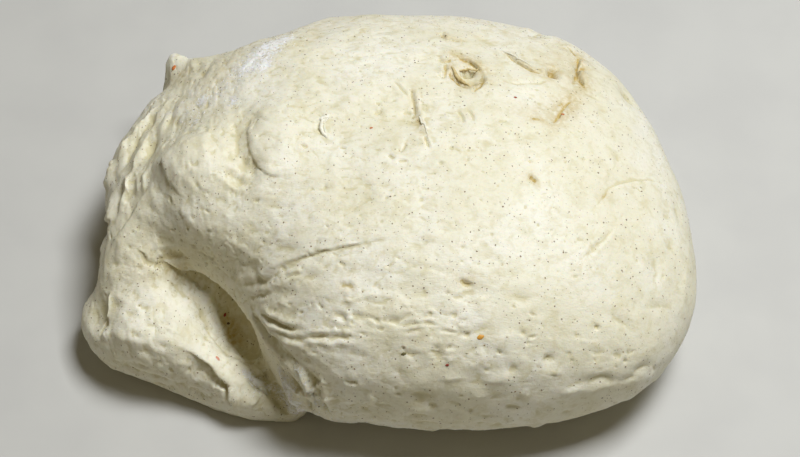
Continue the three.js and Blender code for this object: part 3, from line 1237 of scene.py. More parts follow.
@dataclass(frozen=True)
class Grain:
    """The uneven skin that kneading leaves: soft lumps, drawn-out streaks and thin creases over them.

    Attributes:
        lump: the lumps' size, in mm.
        lump_height: how high they stand, in mm.
        streak: the streaks' width, in mm.
        streak_height: how high they stand, in mm.
        crease: how far apart the creases are, in mm.
        crease_depth: how deep they are, in mm.
        stretch: how many times longer than wide the streaks are.
        seed: which noise this is.
    """

    lump: float = 19.0
    lump_height: float = 4.2
    streak: float = 4.2
    streak_height: float = 1.2
    crease: float = 16.0
    crease_depth: float = 0.3
    stretch: float = 1.9
    seed: float = 3.7

    CREASE_WIDTH = 0.022  # how far from its middle value the crease noise may be
    CREASED = (0.46, 0.60)  # the patch noise where creases begin, and where they are full
    TURN = (-80.0, -40.0)  # mm along X over which the streaks turn from the left side's way to the rest's
    FREE = (0.5, 9.0)  # mm above the resting surface where the grain begins, and where it is full

    def tree(self, sizes: dict[str, object]) -> bpy.types.NodeTree:
        """Builds the tree that moves the skin's points in and out."""
        net, size = geometry_tree("skin_grain", sizes)
        place = net.add("GeometryNodeInputPosition", {}, {})
        normal = net.add("GeometryNodeInputNormal", {}, {})
        worked = net.add("GeometryNodeInputNamedAttribute", {"data_type": "FLOAT"}, {"Name": "worked"})
        split = net.make("ShaderNodeSeparateXYZ", {}, {0: place})
        free = Wire(net, split.outputs["Z"]).between(self.FREE[0] * MM, self.FREE[1] * MM)
        turned = Wire(net, split.outputs["X"]).between(self.TURN[0] * MM, self.TURN[1] * MM)
        seed = size["Seed"]
        lumps = net.noise(place, size["Lump Scale"], detail=2.0, seed=seed, roughness=0.45) - 0.5
        thin = 1.0 / size["Stretch"]
        gained = turned * (1.0 - thin)
        squeeze = net.add("ShaderNodeCombineXYZ", {}, {0: 1.0 - gained, 1: thin + gained, 2: 1.0})
        drawn = net.add("ShaderNodeVectorMath", {"operation": "MULTIPLY"}, {0: place, 1: squeeze})
        streaks = net.noise(drawn, size["Streak Scale"], detail=3.0, seed=seed + 5.0, roughness=0.6,
                            twist=0.7)
        line = net.noise(drawn, size["Crease Scale"], detail=2.0, seed=seed + 9.0, twist=1.2) - 0.5
        spread = net.noise(place, size["Crease Scale"], detail=1.0, seed=seed + 13.0)
        patches = spread.between(*self.CREASED)
        off = line / self.CREASE_WIDTH
        creases = patches / (1.0 + off * off)
        rise = lumps * size["Lump Height"] + (streaks - 0.5) * size["Streak Height"]
        rise = rise - creases * size["Crease Depth"]
        shift = net.scaled(normal, rise * free * worked)
        moved = net.add("GeometryNodeSetPosition", {}, {"Geometry": size["Geometry"], "Offset": shift})
        return close_tree(net, moved, size["Finish"])

    def sizes(self, finish: bpy.types.Material) -> dict[str, object]:
        """The tree's inputs."""
        return {
            "Lump Scale": 1.0 / (self.lump * MM),
            "Lump Height": self.lump_height * MM,
            "Streak Scale": 1.0 / (self.streak * MM),
            "Streak Height": self.streak_height * MM,
            "Crease Scale": 1.0 / (self.crease * MM),
            "Crease Depth": self.crease_depth * MM,
            "Stretch": self.stretch,
            "Seed": self.seed,
            "Finish": finish,
        }


@dataclass(frozen=True)
class Scatter:
    """Small grains that lie on the skin, each one a lump of a few faces.

    Attributes:
        name: the piece's name.
        density: how many there are to a square mm where the mask is one.
        mask: the painted value that says where they lie.
        size: the smallest and the largest grain's half length, in mm.
        breadth: the narrowest and the broadest, as a part of the half length.
        thickness: how thick they are, as a part of the half length.
        sink: how far they lie in the skin, as a part of the half length.
        seed: which draw this is.
    """

    name: str
    density: float
    mask: str
    size: tuple[float, float]
    breadth: tuple[float, float]
    thickness: float
    sink: float
    seed: int

    def tree(self, sizes: dict[str, object]) -> bpy.types.NodeTree:
        """Builds the tree that strews the grains."""
        net, size = geometry_tree(self.name, sizes)
        mask = net.add("GeometryNodeInputNamedAttribute", {"data_type": "FLOAT"}, {"Name": self.mask})
        spots = net.make(
            "GeometryNodeDistributePointsOnFaces",
            {"distribute_method": "RANDOM"},
            {"Mesh": size["Geometry"], "Density": mask * size["Density"], "Seed": size["Seed"]},
        )
        normal = Wire(net, spots.outputs["Normal"])
        length = self._draw(net, size["Smallest"], size["Largest"], 1)
        breadth = length * self._draw(net, size["Narrowest"], size["Broadest"], 2)
        sunk = net.add(
            "GeometryNodeSetPosition",
            {},
            {"Geometry": Wire(net, spots.outputs["Points"]),
             "Offset": net.scaled(normal, length * size["Sink"] * -1.0)},
        )
        angle = self._draw(net, 0.0, math.tau, 3)
        spin = net.add("FunctionNodeAxisAngleToRotation", {}, {"Axis": (0.0, 0.0, 1.0), "Angle": angle})
        turned = net.add(
            "FunctionNodeRotateRotation",
            {"rotation_space": "LOCAL"},
            {"Rotation": Wire(net, spots.outputs["Rotation"]), "Rotate By": spin},
        )
        grain = net.add("GeometryNodeMeshIcoSphere", {}, {"Radius": 1.0, "Subdivisions": 1})
        scale = net.add("ShaderNodeCombineXYZ", {}, {0: length, 1: breadth, 2: length * size["Thickness"]})
        strewn = net.add(
            "GeometryNodeInstanceOnPoints",
            {},
            {"Points": sunk, "Instance": grain, "Rotation": turned, "Scale": scale},
        )
        return close_tree(net, strewn, size["Finish"])

    @staticmethod
    def _draw(net: Net, low: Wire | float, high: Wire | float, seed: int) -> Wire:
        """A random number for each grain, more often near the low end."""
        span = {"Min": 0.0, "Max": 1.0, "Seed": seed}
        chance = net.add("FunctionNodeRandomValue", {"data_type": "FLOAT"}, span)
        return low + chance * chance * (high - low)

    def build(self, skin: bpy.types.Object, finish: bpy.types.Material) -> bpy.types.Object:
        """Strews the grains over a piece.

        Args:
            skin: the piece that they lie on, which stays as it is.
            finish: their material.

        Returns:
            The grains.
        """
        piece = linked(self.name, skin.data.copy())
        sizes = {
            "Density": self.density / MM**2,
            "Smallest": self.size[0] * MM,
            "Largest": self.size[1] * MM,
            "Narrowest": self.breadth[0],
            "Broadest": self.breadth[1],
            "Thickness": self.thickness,
            "Sink": self.sink,
            "Seed": self.seed,
            "Finish": finish,
        }
        grow(piece, self.tree(sizes), sizes)
        return settled(piece, self.name)


@dataclass
class DoughMass:
    """The dough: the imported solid's shape, softened, worked by the hand tools, and painted for its finish.

    Attributes:
        rough_cell: the first remesh's cell, in mm.
        rough_rounds: rounds of smoothing that take the solid's facets away.
        finer_levels: how many times each face is then divided in four.
        most_triangles: the most that the finished mesh may have.
        grain: the skin's unevenness.
        smooth_end: the +X end's share of that unevenness, where the skin is drawn tight.
    """

    rough_cell: float = 2.2
    rough_rounds: int = 9
    finer_levels: int = 2
    most_triangles: int = 190_000
    grain: Grain = field(default_factory=Grain)
    smooth_end: float = 0.4

    WELD = 0.001  # mm within which two of the solid's points are one
    RESTING = 0.4  # a point that is lower than this part of the rough cell lies on the resting surface
    TIGHT = (-40.0, 60.0)  # mm along X over which the skin is drawn tight
    # What is painted as sunken, which the finish darkens as painted shade: its name, the rounds of smoothing
    # that it is measured against, and the depth in mm that counts as full.
    SUNKEN = (("crease", 6, 0.22), ("hollow", 60, 1.3))
    OPEN_FACING = (-0.4, 0.1)  # how far up the skin faces where it begins to be open, and where it is
    CLEAR_OF_FLOOR = (0.5, 3.0)  # how many mm above the resting surface, likewise
    FADE = 2.5  # how many times its reach a patch of flour is followed out to

    def build(self, finish: bpy.types.Material) -> bpy.types.Object:
        """Makes the whole mass.

        Args:
            finish: its material.

        Returns:
            The finished piece.
        """
        skin = self._softened()
        for stage in (BROAD_SHAPE, POCKET + FLAP, BUMP + TONGUE + LEFT_SIDE):
            self._work(skin, stage)
        skin = self._grained(skin, finish)
        for stage in (STREAKS, TORN_HOLE + UPPER_RIGHT + MIDDLE + RIGHT_SIDE + FRONT, HEM, SMALL_MARKS):
            self._work(skin, stage)
        skin.keep()
        piece = self._thinned(linked("dough_worked", skin.mesh), len(skin.triangles))
        self._paint(piece)
        piece.data.shade_smooth()
        return piece

    def _softened(self) -> Skin:
        """Copies the solid, takes its facets away and divides its faces."""
        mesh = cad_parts[NODE].data.copy()
        shell = bmesh.new()
        shell.from_mesh(mesh)
        bmesh.ops.remove_doubles(shell, verts=shell.verts, dist=self.WELD * MM)
        shell.to_mesh(mesh)
        shell.free()
        mesh.materials.clear()
        piece = linked("dough_rough", mesh)
        remesh = piece.modifiers.new("rough", "REMESH")
        remesh.mode = "VOXEL"
        remesh.voxel_size = self.rough_cell * MM
        piece = settled(piece, "dough_rough")
        skin = Skin(piece.data)
        floor = skin.points[:, 2] < self.RESTING * self.rough_cell
        skin.points = skin.relaxed(self.rough_rounds)
        for at, reach, rounds in RUBBED:
            skin.rub(at, reach, rounds)
        skin.points[floor, 2] = 0.0
        skin.keep()
        finer = piece.modifiers.new("finer", "SUBSURF")
        finer.levels = self.finer_levels
        finer.render_levels = self.finer_levels
        piece = settled(piece, "dough_fine")
        skin = Skin(piece.data)
        bpy.data.objects.remove(piece)
        return skin

    @staticmethod
    def _work(skin: Skin, tools: tuple[Tool, ...]) -> None:
        """Uses some tools one after another, and presses what went below it back to the resting surface."""
        for tool in tools:
            tool.work(skin)
        skin.points[:, 2] = np.maximum(skin.points[:, 2], 0.0)
        skin.feel()

    def _grained(self, skin: Skin, finish: bpy.types.Material) -> Skin:
        """Gives the skin its grain."""
        skin.keep()
        tight = smooth_step(skin.points[:, 0], *self.TIGHT)
        skin.paint("worked", 1.0 - (1.0 - self.smooth_end) * tight)
        piece = linked("dough_grain", skin.mesh)
        sizes = self.grain.sizes(finish)
        grow(piece, self.grain.tree(sizes), sizes)
        piece = settled(piece, "dough_grained")
        grained = Skin(piece.data)
        bpy.data.objects.remove(piece)
        return grained

    def _thinned(self, piece: bpy.types.Object, triangles: int) -> bpy.types.Object:
        """Drops the triangles that the shape can do without, most of them in the flat underside."""
        thin = piece.modifiers.new("thin", "DECIMATE")
        thin.ratio = min(1.0, self.most_triangles / triangles)
        return settled(piece, "bread_dough")

    @classmethod
    def _paint(cls, piece: bpy.types.Object) -> None:
        """Paints where the skin is hollow or creased, for painted shade, and where it is open to the air,
        floury or ochre.
        """
        skin = Skin(piece.data)
        for name, rounds, depth in cls.SUNKEN:
            sunk = np.einsum("ij,ij->i", skin.relaxed(rounds) - skin.points, skin.normals)
            skin.paint(name, np.clip(sunk / depth, -1.0, 1.0))
        clear = smooth_step(skin.points[:, 2], *cls.CLEAR_OF_FLOOR)
        skin.paint("open", smooth_step(skin.normals[:, 2], *cls.OPEN_FACING) * clear)
        for name, patches in (("flour", FLOUR), ("ochre", OCHRE)):
            total = np.zeros(len(skin.points))
            for patch in patches:
                near = skin.beside(patch.path, patch.reach * cls.FADE)
                total[near.index] += patch.amount * np.exp(-((near.gap / patch.reach) ** 2))
            skin.paint(name, np.clip(total, 0.0, 1.0))


# ---------------------------------------------------------------------------------------------------------
# Finishes
# ---------------------------------------------------------------------------------------------------------


@dataclass(frozen=True)
class Pattern:
    """Soft noise of one size.

    Attributes:
        size: how far apart its lumps are, in mm.
        detail: how many finer layers it has.
        seed: which noise it is.
        roughness: how strong the finer layers are.
        twist: how far it is dragged about.
    """

    size: float
    detail: float
    seed: float
    roughness: float = 0.5
    twist: float = 0.0

    def read(self, net: Net, place: Wire) -> Wire:
        """The noise at a place."""
        return net.noise(place, 1.0 / (self.size * MM), self.detail, self.seed, self.roughness, self.twist)


@dataclass(frozen=True)
class Specks:
    """Bran specks, one in most of the cells of an uneven grid.

    Attributes:
        cell: the grid's cell, in mm.
        smallest: the smallest speck's radius, as a share of the cell.
        largest: the largest one's.
        seed: which grid this is.
        strength: how strongly a speck colours the dough.
    """

    cell: float
    smallest: float
    largest: float
    seed: float
    strength: float

    BARE = 0.15  # the share of the cells that hold no speck
    SOFT_EDGE = 0.5  # the part of a speck's radius over which it fades

    def read(self, net: Net, place: Wire) -> Wire:
        """How much bran there is at a place.

        Args:
            net: the tree.
            place: where the pattern is read.

        Returns:
            The amount, from 0 to the strength.
        """
        grid = net.make(
            "ShaderNodeTexVoronoi",
            {"voronoi_dimensions": "4D"},
            {"Vector": place, "W": self.seed, "Scale": 1.0 / (self.cell * MM)},
        )
        away = Wire(net, grid.outputs["Distance"])
        draw = net.add("ShaderNodeSeparateColor", {}, {0: Wire(net, grid.outputs["Color"])}, "Red")
        radius = self.smallest + draw.between(self.BARE, 1.0) * (self.largest - self.smallest)
        inside = (radius - away) / (radius * self.SOFT_EDGE)
        return inside.clamped() * (draw > self.BARE) * self.strength


@dataclass(frozen=True)
class DoughFinish:
    """Wet, pale wholemeal dough: cream with yellower and greyer blotches, bran specks, pores, flour and
    painted shade.
    """

    cream: Colour = (0.77, 0.73, 0.56)
    pale: Colour = (0.83, 0.80, 0.67)
    # Straw is the dough's own mottling, and also its painted shade in creases and hollows.
    straw: Colour = (0.62, 0.56, 0.34)
    # Ochre is the tint of torn dough, and also painted shade where it lies in creases and hollows.
    ochre: Colour = (0.50, 0.37, 0.13)
    bran: Colour = (0.20, 0.14, 0.07)
    flour: Colour = (0.89, 0.875, 0.84)

    # The dough's mottling: pale blotches, straw flecks, the finest straw mottling, and damp, shiny places.
    BLOTCH = Pattern(size=26.0, detail=3.0, seed=4.0, roughness=0.55)
    FLECK = Pattern(size=4.5, detail=4.0, seed=6.0, roughness=0.6, twist=0.8)
    FINE = Pattern(size=1.6, detail=4.0, seed=11.0, roughness=0.65, twist=0.5)
    DAMP = Pattern(size=7.0, detail=3.0, seed=2.0)
    # Where on each pattern or painted value a colour begins, and where it is full.
    PALE_SPAN = (0.40, 0.66)
    FLECK_SPAN = (0.46, 0.70)
    FINE_SPAN = (0.48, 0.75)
    HOLLOW_SPAN = (0.02, 0.8)
    CREASE_SPAN = (0.05, 0.7)
    OCHRE_SPAN = (0.25, 0.6)
    # How far straw takes over in each, as painted shade in hollows and creases, and how ochre the ochre
    # patches
    # of torn dough are: on the level, and more as painted shade in a crease and in a hollow.
    FLECK_STRAW = 0.55
    FINE_STRAW = 0.40
    HOLLOW_SHADE = 0.62
    CREASE_SHADE = 0.75
    OCHRE_LEVEL = 0.55
    CREASE_OCHRE_SHADE = 0.6
    HOLLOW_OCHRE_SHADE = 0.4
    BRAN_SPECKS = (
        Specks(cell=1.0, smallest=0.12, largest=0.26, seed=9.0, strength=0.55),
        Specks(cell=1.9, smallest=0.09, largest=0.22, seed=0.0, strength=0.9),
    )
    # The flour: its powder and clumps, how much each breaks up its edge, where it begins and is full.
    POWDER = Pattern(size=0.9, detail=5.0, seed=1.0, roughness=0.8)
    CLUMP = Pattern(size=5.0, detail=3.0, seed=8.0, roughness=0.6)
    FLOUR_DEPTH = 0.7
    POWDER_BREAK = 3.6
    CLUMP_BREAK = 1.8
    COVER_SPAN = (0.35, 0.72)
    PATCH_SPAN = (0.02, 0.3)
    THICKEST = 0.9
    # How dull the dough is, and how much more so where it is drier and under flour.
    DULL = 0.44
    DULL_DRY = 0.22
    DULL_FLOUR = 0.35
    SHINE = 0.4
    # How much light goes into the dough, and how far each colour goes, in parts of DEPTH mm.
    SUBSURFACE = 0.22
    REDS_FARTHEST = (1.0, 0.72, 0.4)
    DEPTH = 2.0
    # The fine relief: pores, drawn-out gluten threads and flour grains, with their heights and the whole's.
    PORES = Pattern(size=1.3, detail=3.0, seed=3.0, roughness=0.6)
    THREADS = Pattern(size=0.9, detail=4.0, seed=7.0, roughness=0.6, twist=1.2)
    THREAD_STRETCH = (0.35, 1.0, 1.0)
    GRAINS = Pattern(size=0.5, detail=2.0, seed=5.0)
    PORE_HEIGHT = 0.5
    THREAD_HEIGHT = 0.5
    GRAIN_HEIGHT = 0.6
    BUMP_STRENGTH = 0.7
    BUMP_HEIGHT = 0.45  # mm

    def material(self) -> bpy.types.Material:
        """Builds the material."""
        material, net, shader = finish_named("wet_dough")
        place = net.add("ShaderNodeTexCoord", {}, {}, "Object")
        colour = self._ground(net, place)
        for specks in self.BRAN_SPECKS:
            colour = net.mix(specks.read(net, place), colour, self.bran)
        floured = self._floured(net, place)
        colour = net.mix(floured, colour, self.flour)
        net.join(colour, shader.inputs["Base Color"])
        roughness = self.DULL + self.DAMP.read(net, place) * self.DULL_DRY + floured * self.DULL_FLOUR
        net.join(roughness.clamped(), shader.inputs["Roughness"])
        net.join(self._bump(net, place, floured), shader.inputs["Normal"])
        shader.inputs["Subsurface Weight"].default_value = self.SUBSURFACE
        shader.inputs["Subsurface Radius"].default_value = self.REDS_FARTHEST
        shader.inputs["Subsurface Scale"].default_value = self.DEPTH * MM
        shader.inputs["Specular IOR Level"].default_value = self.SHINE
        return material

    def _ground(self, net: Net, place: Wire) -> Wire:
        """The dough's colour with the painted shade in its creases and hollows, without specks or flour."""
        fine = self.FINE.read(net, place)
        hollow = net.attribute("hollow").between(*self.HOLLOW_SPAN)
        crease = net.attribute("crease").between(*self.CREASE_SPAN)
        colour = net.mix(self.BLOTCH.read(net, place).between(*self.PALE_SPAN), self.cream, self.pale)
        # Blotches, flecks and the finest mottling are the dough's own colour; hollow and crease mix in straw
        # as painted shade.
        for value, strength in (
            (self.FLECK.read(net, place).between(*self.FLECK_SPAN), self.FLECK_STRAW),
            (fine.between(*self.FINE_SPAN), self.FINE_STRAW),
            (hollow, self.HOLLOW_SHADE),
            (crease, self.CREASE_SHADE),
        ):
            colour = net.mix(value * strength, colour, self.straw)
        # The ochre patches, deepened as painted shade in creases and hollows.
        torn = net.attribute("ochre") * fine.between(*self.OCHRE_SPAN)
        torn = torn * (self.OCHRE_LEVEL + crease * self.CREASE_OCHRE_SHADE + hollow * self.HOLLOW_OCHRE_SHADE)
        return net.mix(torn.clamped(), colour, self.ochre)

    def _floured(self, net: Net, place: Wire) -> Wire:
        """How much flour covers the skin: thick in the painted patches, broken up at their edges."""
        flour = net.attribute("flour")
        powder = (self.POWDER.read(net, place) - 0.5) * self.POWDER_BREAK
        clump = (self.CLUMP.read(net, place) - 0.5) * self.CLUMP_BREAK
        cover = flour * self.FLOUR_DEPTH + powder + clump
        return cover.between(*self.COVER_SPAN) * flour.between(*self.PATCH_SPAN) * self.THICKEST

    def _bump(self, net: Net, place: Wire, floured: Wire) -> Wire:
        """Fine relief: pores and drawn-out gluten threads, and the flour's own roughness."""
        pores = self.PORES.read(net, place)
        threads = self.THREADS.read(net, net.scaled(place, self.THREAD_STRETCH))
        grains = self.GRAINS.read(net, place) * floured
        height = pores * self.PORE_HEIGHT + threads * self.THREAD_HEIGHT + grains * self.GRAIN_HEIGHT
        inputs = {"Strength": self.BUMP_STRENGTH, "Distance": self.BUMP_HEIGHT * MM, "Height": height}
        return net.add("ShaderNodeBump", {}, inputs, "Normal")


@dataclass(frozen=True)
class PlainFinish:
    """One colour, made a little uneven.

    Attributes:
        name: the material's name.
        colour: the colour.
        darker: what it turns to in places.
        grain: how big those places are, in mm.
        roughness: how dull it is.
    """

    name: str
    colour: Colour
    darker: Colour
    grain: float
    roughness: float

    DARK_SPAN = (0.35, 0.7)  # the unevenness where the darker colour begins, and where it is full

    def material(self) -> bpy.types.Material:
        """Builds the material."""
        material, net, shader = finish_named(self.name)
        place = net.add("ShaderNodeTexCoord", {}, {}, "Object")
        uneven = Pattern(self.grain, detail=3.0, seed=1.0).read(net, place)
        colour = net.mix(uneven.between(*self.DARK_SPAN), self.colour, self.darker)
        net.join(colour, shader.inputs["Base Color"])
        shader.inputs["Roughness"].default_value = self.roughness
        return material


BRAN_FINISH = PlainFinish("bran", (0.26, 0.18, 0.09), (0.13, 0.09, 0.05), grain=0.4, roughness=0.6)
FLOUR_FINISH = PlainFinish("flour", (0.88, 0.87, 0.86), (0.80, 0.79, 0.78), grain=0.5, roughness=0.95)
FLOOR_FINISH = PlainFinish("worktop", (0.55, 0.54, 0.50), (0.52, 0.51, 0.475), grain=40.0, roughness=0.7)

BRAN_FLAKES = Scatter(
    "bran_flakes", density=0.060, mask="open", size=(0.16, 0.42), breadth=(0.4, 0.9), thickness=0.34,
    sink=0.05, seed=5,
)
FLOUR_CRUMBS = Scatter(
    "flour_crumbs", density=1.2, mask="flour", size=(0.10, 0.34), breadth=(0.6, 1.0), thickness=0.7,
    sink=0.1, seed=6,
)


# ---------------------------------------------------------------------------------------------------------
# Single small pieces: strands of gluten and coloured flecks
# ---------------------------------------------------------------------------------------------------------


@dataclass(frozen=True)
class Strand:
    """A strand of gluten that lies on the skin, thick in the middle and drawn out to its ends.

    Attributes:
        path: its way over the skin, in mm.
        radius: half its thickness at the middle, in mm.
        lift: how far its middle stands off the skin, in mm.
    """

    path: Path
    radius: float
    lift: float

    SIDES = 8
    THIN = 0.25  # the ends' part of the radius

    def add_to(self, shell: bmesh.types.BMesh, skin: Skin) -> None:
        """Builds it.

        Args:
            shell: the mesh that it joins, in metres.
            skin: the dough's skin.
        """
        places, normals = skin.lay(self.path)
        along = unit(np.gradient(places, axis=0))
        across = unit(np.cross(normals, along))
        up = np.cross(along, across)
        share = np.linspace(0.0, 1.0, len(places))
        arch = np.sin(math.pi * share)
        radius = self.radius * (self.THIN + (1.0 - self.THIN) * np.sqrt(arch))
        spine = places + up * (self.lift * arch)[:, None]
        rings = []
        for k in range(len(spine)):
            ring = []
            for side in range(self.SIDES):
                angle = math.tau * side / self.SIDES
                point = spine[k] + radius[k] * (math.cos(angle) * across[k] + math.sin(angle) * up[k])
                ring.append(shell.verts.new(point * MM))
            rings.append(ring)
        for ring, following in zip(rings, rings[1:]):
            for side in range(self.SIDES):
                beyond = (side + 1) % self.SIDES
                shell.faces.new((ring[side], ring[beyond], following[beyond], following[side]))
        for ring, place, way in ((rings[0], spine[0], -along[0]), (rings[-1], spine[-1], along[-1])):
            pole = shell.verts.new((place + way * radius[0]) * MM)
            for side in range(self.SIDES):
                shell.faces.new((ring[side], ring[(side + 1) % self.SIDES], pole))


PALE_STRANDS = (
    Strand(
        ((-20, 11.2, 71.7), (-20.9, 9, 71.4), (-21.3, 6.6, 71.3), (-20.6, 3.6, 71.4), (-19.9, 0.9, 71.4)),
        0.75, 0.2,
    ),
    Strand(((-18.6, 11.6, 71.7), (-20.2, 9.6, 71.5), (-21.2, 7.4, 71.3)), 0.4, 0.1),
    Strand(((11.5, 10, 73.2), (13.2, 5, 73.8), (14.8, 0.5, 74)), 0.4, 0.25),
    Strand(((42, 49, 62), (47.5, 43.5, 63.4), (53, 38.5, 64.2)), 0.35, 0.25),
)
OCHRE_STRANDS = (
    Strand(((23.4, 35.7, 68.6), (24.9, 31.1, 69.7), (27.3, 27.6, 70.4), (30.1, 25.3, 70.7)), 0.6, 0.5),
    Strand(((27.2, 33.6, 68.8), (29.4, 34.4, 68.4), (32.4, 35.3, 68)), 0.35, 0.6),
)
PALE_GLUTEN = PlainFinish("pale_gluten", (0.86, 0.84, 0.72), (0.76, 0.71, 0.54), grain=1.5, roughness=0.45)
OCHRE_GLUTEN = PlainFinish("ochre_gluten", (0.66, 0.54, 0.28), (0.50, 0.36, 0.13), grain=1.5,
                           roughness=0.45)


class FleckColour(Enum):
    """What a coloured fleck looks like: its colour, and what it turns to in places."""

    ORANGE = ((0.62, 0.20, 0.05), (0.45, 0.12, 0.03))
    RED = ((0.38, 0.06, 0.03), (0.25, 0.04, 0.02))
    AMBER = ((0.72, 0.36, 0.05), (0.58, 0.26, 0.04))
    BROWN = ((0.14, 0.08, 0.03), (0.08, 0.05, 0.02))
    GREEN = ((0.16, 0.14, 0.05), (0.09, 0.08, 0.03))
    PINK = ((0.72, 0.34, 0.24), (0.62, 0.22, 0.12))

    def finish(self) -> PlainFinish:
        """The fleck's finish."""
        return PlainFinish("fleck_" + self.name.lower(), *self.value, grain=0.6, roughness=0.5)


@dataclass(frozen=True)
class Fleck:
    """A small bit of husk or seed on the skin.

    Attributes:
        at: where it lies, in mm.
        colour: its colour.
        length: how long it is, in mm.
        width: how wide it is, in mm.
        heading: its plan direction, in degrees.
    """

    at: Point
    colour: FleckColour
    length: float
    width: float
    heading: float = 20.0

    THICKNESS = 0.35  # as a part of the width
    UNEVEN = 0.16  # the part of its size by which its surface strays

    def add_to(self, shell: bmesh.types.BMesh, skin: Skin) -> None:
        """Builds it.

        Args:
            shell: the mesh that it joins, in metres.
            skin: the dough's skin.
        """
        place, normal = skin.land(self.at)
        angle = math.radians(self.heading)
        way = np.array([math.cos(angle), math.sin(angle), 0.0])
        way = unit(way - normal * float(way @ normal))
        across = np.cross(normal, way)
        rng = np.random.default_rng(round(abs(self.at[0] * 10)))
        for vertex in bmesh.ops.create_icosphere(shell, subdivisions=2, radius=0.5)["verts"]:
            along, aside, up = np.array(vertex.co) * (1.0 + rng.uniform(-self.UNEVEN, self.UNEVEN))
            point = place + way * along * self.length + across * aside * self.width
            vertex.co = (point + normal * up * self.width * self.THICKNESS) * MM


FLECKS = (
    Fleck((-78.8, 57, 42), FleckColour.ORANGE, 2.2, 1.5, 60),
    Fleck((-4.7, 4.8, 73), FleckColour.ORANGE, 1.2, 0.8),
    Fleck((62, 15.3, 67), FleckColour.ORANGE, 1.4, 0.9, -20),
    Fleck((45.5, 20.5, 69.8), FleckColour.RED, 1.2, 0.9),
    Fleck((20.7, -77, 51), FleckColour.RED, 1.3, 0.9),
    Fleck((-59.5, -34, 14), FleckColour.RED, 1.7, 1.1, 80),
    Fleck((31.6, -70.2, 57.4), FleckColour.AMBER, 2.3, 1.5),
    Fleck((-57, -38, 13.4), FleckColour.BROWN, 1.4, 0.9),
    Fleck((-52, -14.7, 61.4), FleckColour.BROWN, 1.3, 0.7),
    Fleck((6.5, -74.3, 53.2), FleckColour.GREEN, 1.8, 1.4),
    Fleck((-57.6, -57.6, 23.6), FleckColour.PINK, 2.0, 1.2, -30),
)


def from_shell(shell: bmesh.types.BMesh, name: str, finish: bpy.types.Material) -> bpy.types.Object:
    """Turns a shell into a piece.

    Args:
        shell: the shell, in metres, which is freed.
        name: the piece's name.
        finish: its material.

    Returns:
        The piece.
    """
    bmesh.ops.recalc_face_normals(shell, faces=shell.faces)
    mesh = bpy.data.meshes.new(name)
    shell.to_mesh(mesh)
    shell.free()
    mesh.materials.append(finish)
    mesh.shade_smooth()
    return linked(name, mesh)


def build_strands(skin: Skin, strands: tuple[Strand, ...], finish: PlainFinish) -> bpy.types.Object:
    """Builds the gluten strands of one colour as one piece.

    Args:
        skin: the dough's skin.
        strands: the strands.
        finish: their finish.

    Returns:
        The piece.
    """
    shell = bmesh.new()
    for strand in strands:
        strand.add_to(shell, skin)
    return from_shell(shell, finish.name + "_strands", finish.material())


def build_flecks(skin: Skin, colour: FleckColour) -> bpy.types.Object:
    """Builds the flecks of one colour as one piece.

    Args:
        skin: the dough's skin.
        colour: the colour.

    Returns:
        The piece.
    """
    shell = bmesh.new()
    for fleck in FLECKS:
        if fleck.colour is colour:
            fleck.add_to(shell, skin)
    return from_shell(shell, "flecks_" + colour.name.lower(), colour.finish().material())


# ---------------------------------------------------------------------------------------------------------
# Main
# ---------------------------------------------------------------------------------------------------------


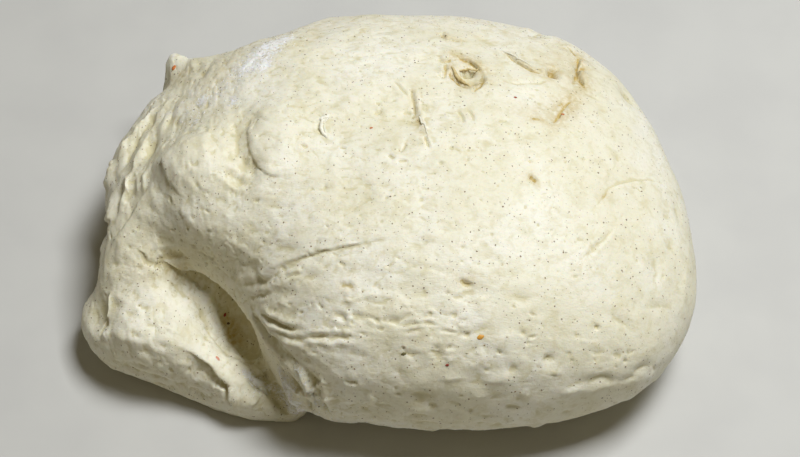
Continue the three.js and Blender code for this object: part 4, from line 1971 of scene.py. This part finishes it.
@dataclass
class Studio:
    """A plain pale floor, a key light high at the back right, a weak fill, and the camera.

    Attributes:
        elevation: how far the camera looks down, in degrees.
        distance: how far it is from what it looks at, in metres.
        view_width: how wide a view it takes in at that distance, in metres.
        aim: what it looks at.
    """

    elevation: float = 55.0
    distance: float = 0.70
    view_width: float = 0.288
    aim: Point = (0.0052, -0.0051, 0.0265)

    SENSOR = 36.0  # mm
    NEAREST = 0.01  # metres from the camera to the nearest thing that it shows
    FLOOR_SIDE = 6.0  # metres
    # The lamps: name, place, side in metres, watts and colour.
    LAMPS = (
        ("key", (0.35, 0.13, 1.12), 0.40, 15.2, (0.92, 0.95, 1.0)),
        ("fill", (-0.40, -0.95, 0.8), 1.0, 0.85, (1.0, 0.89, 0.62)),
    )
    SKY = (1.0, 0.87, 0.54)
    SKY_STRENGTH = 0.090

    def camera(self) -> None:
        """Sets the camera up."""
        tilt = math.radians(self.elevation)
        back = Vector((0.0, -math.cos(tilt), math.sin(tilt)))
        lens = bpy.data.cameras.new("camera")
        lens.sensor_width = self.SENSOR
        lens.lens = self.SENSOR * self.distance / self.view_width
        lens.clip_start = self.NEAREST
        holder = bpy.data.objects.new("camera", lens)
        holder.location = Vector(self.aim) + back * self.distance
        holder.rotation_mode = "QUATERNION"
        holder.rotation_quaternion = (-back).to_track_quat("-Z", "Y")
        bpy.context.scene.collection.objects.link(holder)
        bpy.context.scene.camera = holder

    def lamp(self, name: str, place: Point, size: float, watts: float, colour: Colour) -> None:
        """Hangs a square soft light that faces the dough.

        Args:
            name: its name.
            place: where it hangs.
            size: its side, in metres.
            watts: its power.
            colour: its colour.
        """
        light = bpy.data.lights.new(name, "AREA")
        light.size = size
        light.energy = watts
        light.color = colour
        holder = bpy.data.objects.new(name, light)
        holder.location = place
        holder.rotation_mode = "QUATERNION"
        holder.rotation_quaternion = (Vector(self.aim) - Vector(place)).to_track_quat("-Z", "Y")
        bpy.context.scene.collection.objects.link(holder)

    def floor(self) -> None:
        """Lays the floor."""
        half = self.FLOOR_SIDE / 2.0
        mesh = bpy.data.meshes.new("floor")
        corners = [(-half, -half, 0.0), (half, -half, 0.0), (half, half, 0.0), (-half, half, 0.0)]
        mesh.from_pydata(corners, [], [(0, 1, 2, 3)])
        mesh.materials.append(FLOOR_FINISH.material())
        linked("floor", mesh)

    def build(self) -> None:
        """Builds the studio."""
        self.camera()
        self.floor()
        for name, place, size, watts, colour in self.LAMPS:
            self.lamp(name, place, size, watts, colour)
        scene = bpy.context.scene
        scene.world = bpy.data.worlds.new("soft_room")
        scene.world.use_nodes = True
        sky = scene.world.node_tree.nodes["Background"]
        sky.inputs["Color"].default_value = (*self.SKY, 1.0)
        sky.inputs["Strength"].default_value = self.SKY_STRENGTH
        scene.view_settings.view_transform = "Standard"


def hand_over(piece: bpy.types.Object) -> None:
    """Hands a finished piece to the frame, and reports it."""
    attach(piece, BODY)
    log.info("%s: %d faces", piece.name, len(piece.data.polygons))


def main() -> None:
    """Builds the dough and its studio."""
    Studio().build()
    dough = DoughMass().build(DoughFinish().material())
    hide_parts(NODE)
    hand_over(dough)
    skin = Skin(dough.data)
    for scatter, finish in ((BRAN_FLAKES, BRAN_FINISH), (FLOUR_CRUMBS, FLOUR_FINISH)):
        hand_over(scatter.build(dough, finish.material()))
    for strands, finish in ((PALE_STRANDS, PALE_GLUTEN), (OCHRE_STRANDS, OCHRE_GLUTEN)):
        hand_over(build_strands(skin, strands, finish))
    for colour in FleckColour:
        hand_over(build_flecks(skin, colour))


if __name__ == "__main__":
    logging.basicConfig(level=logging.INFO)
    main()
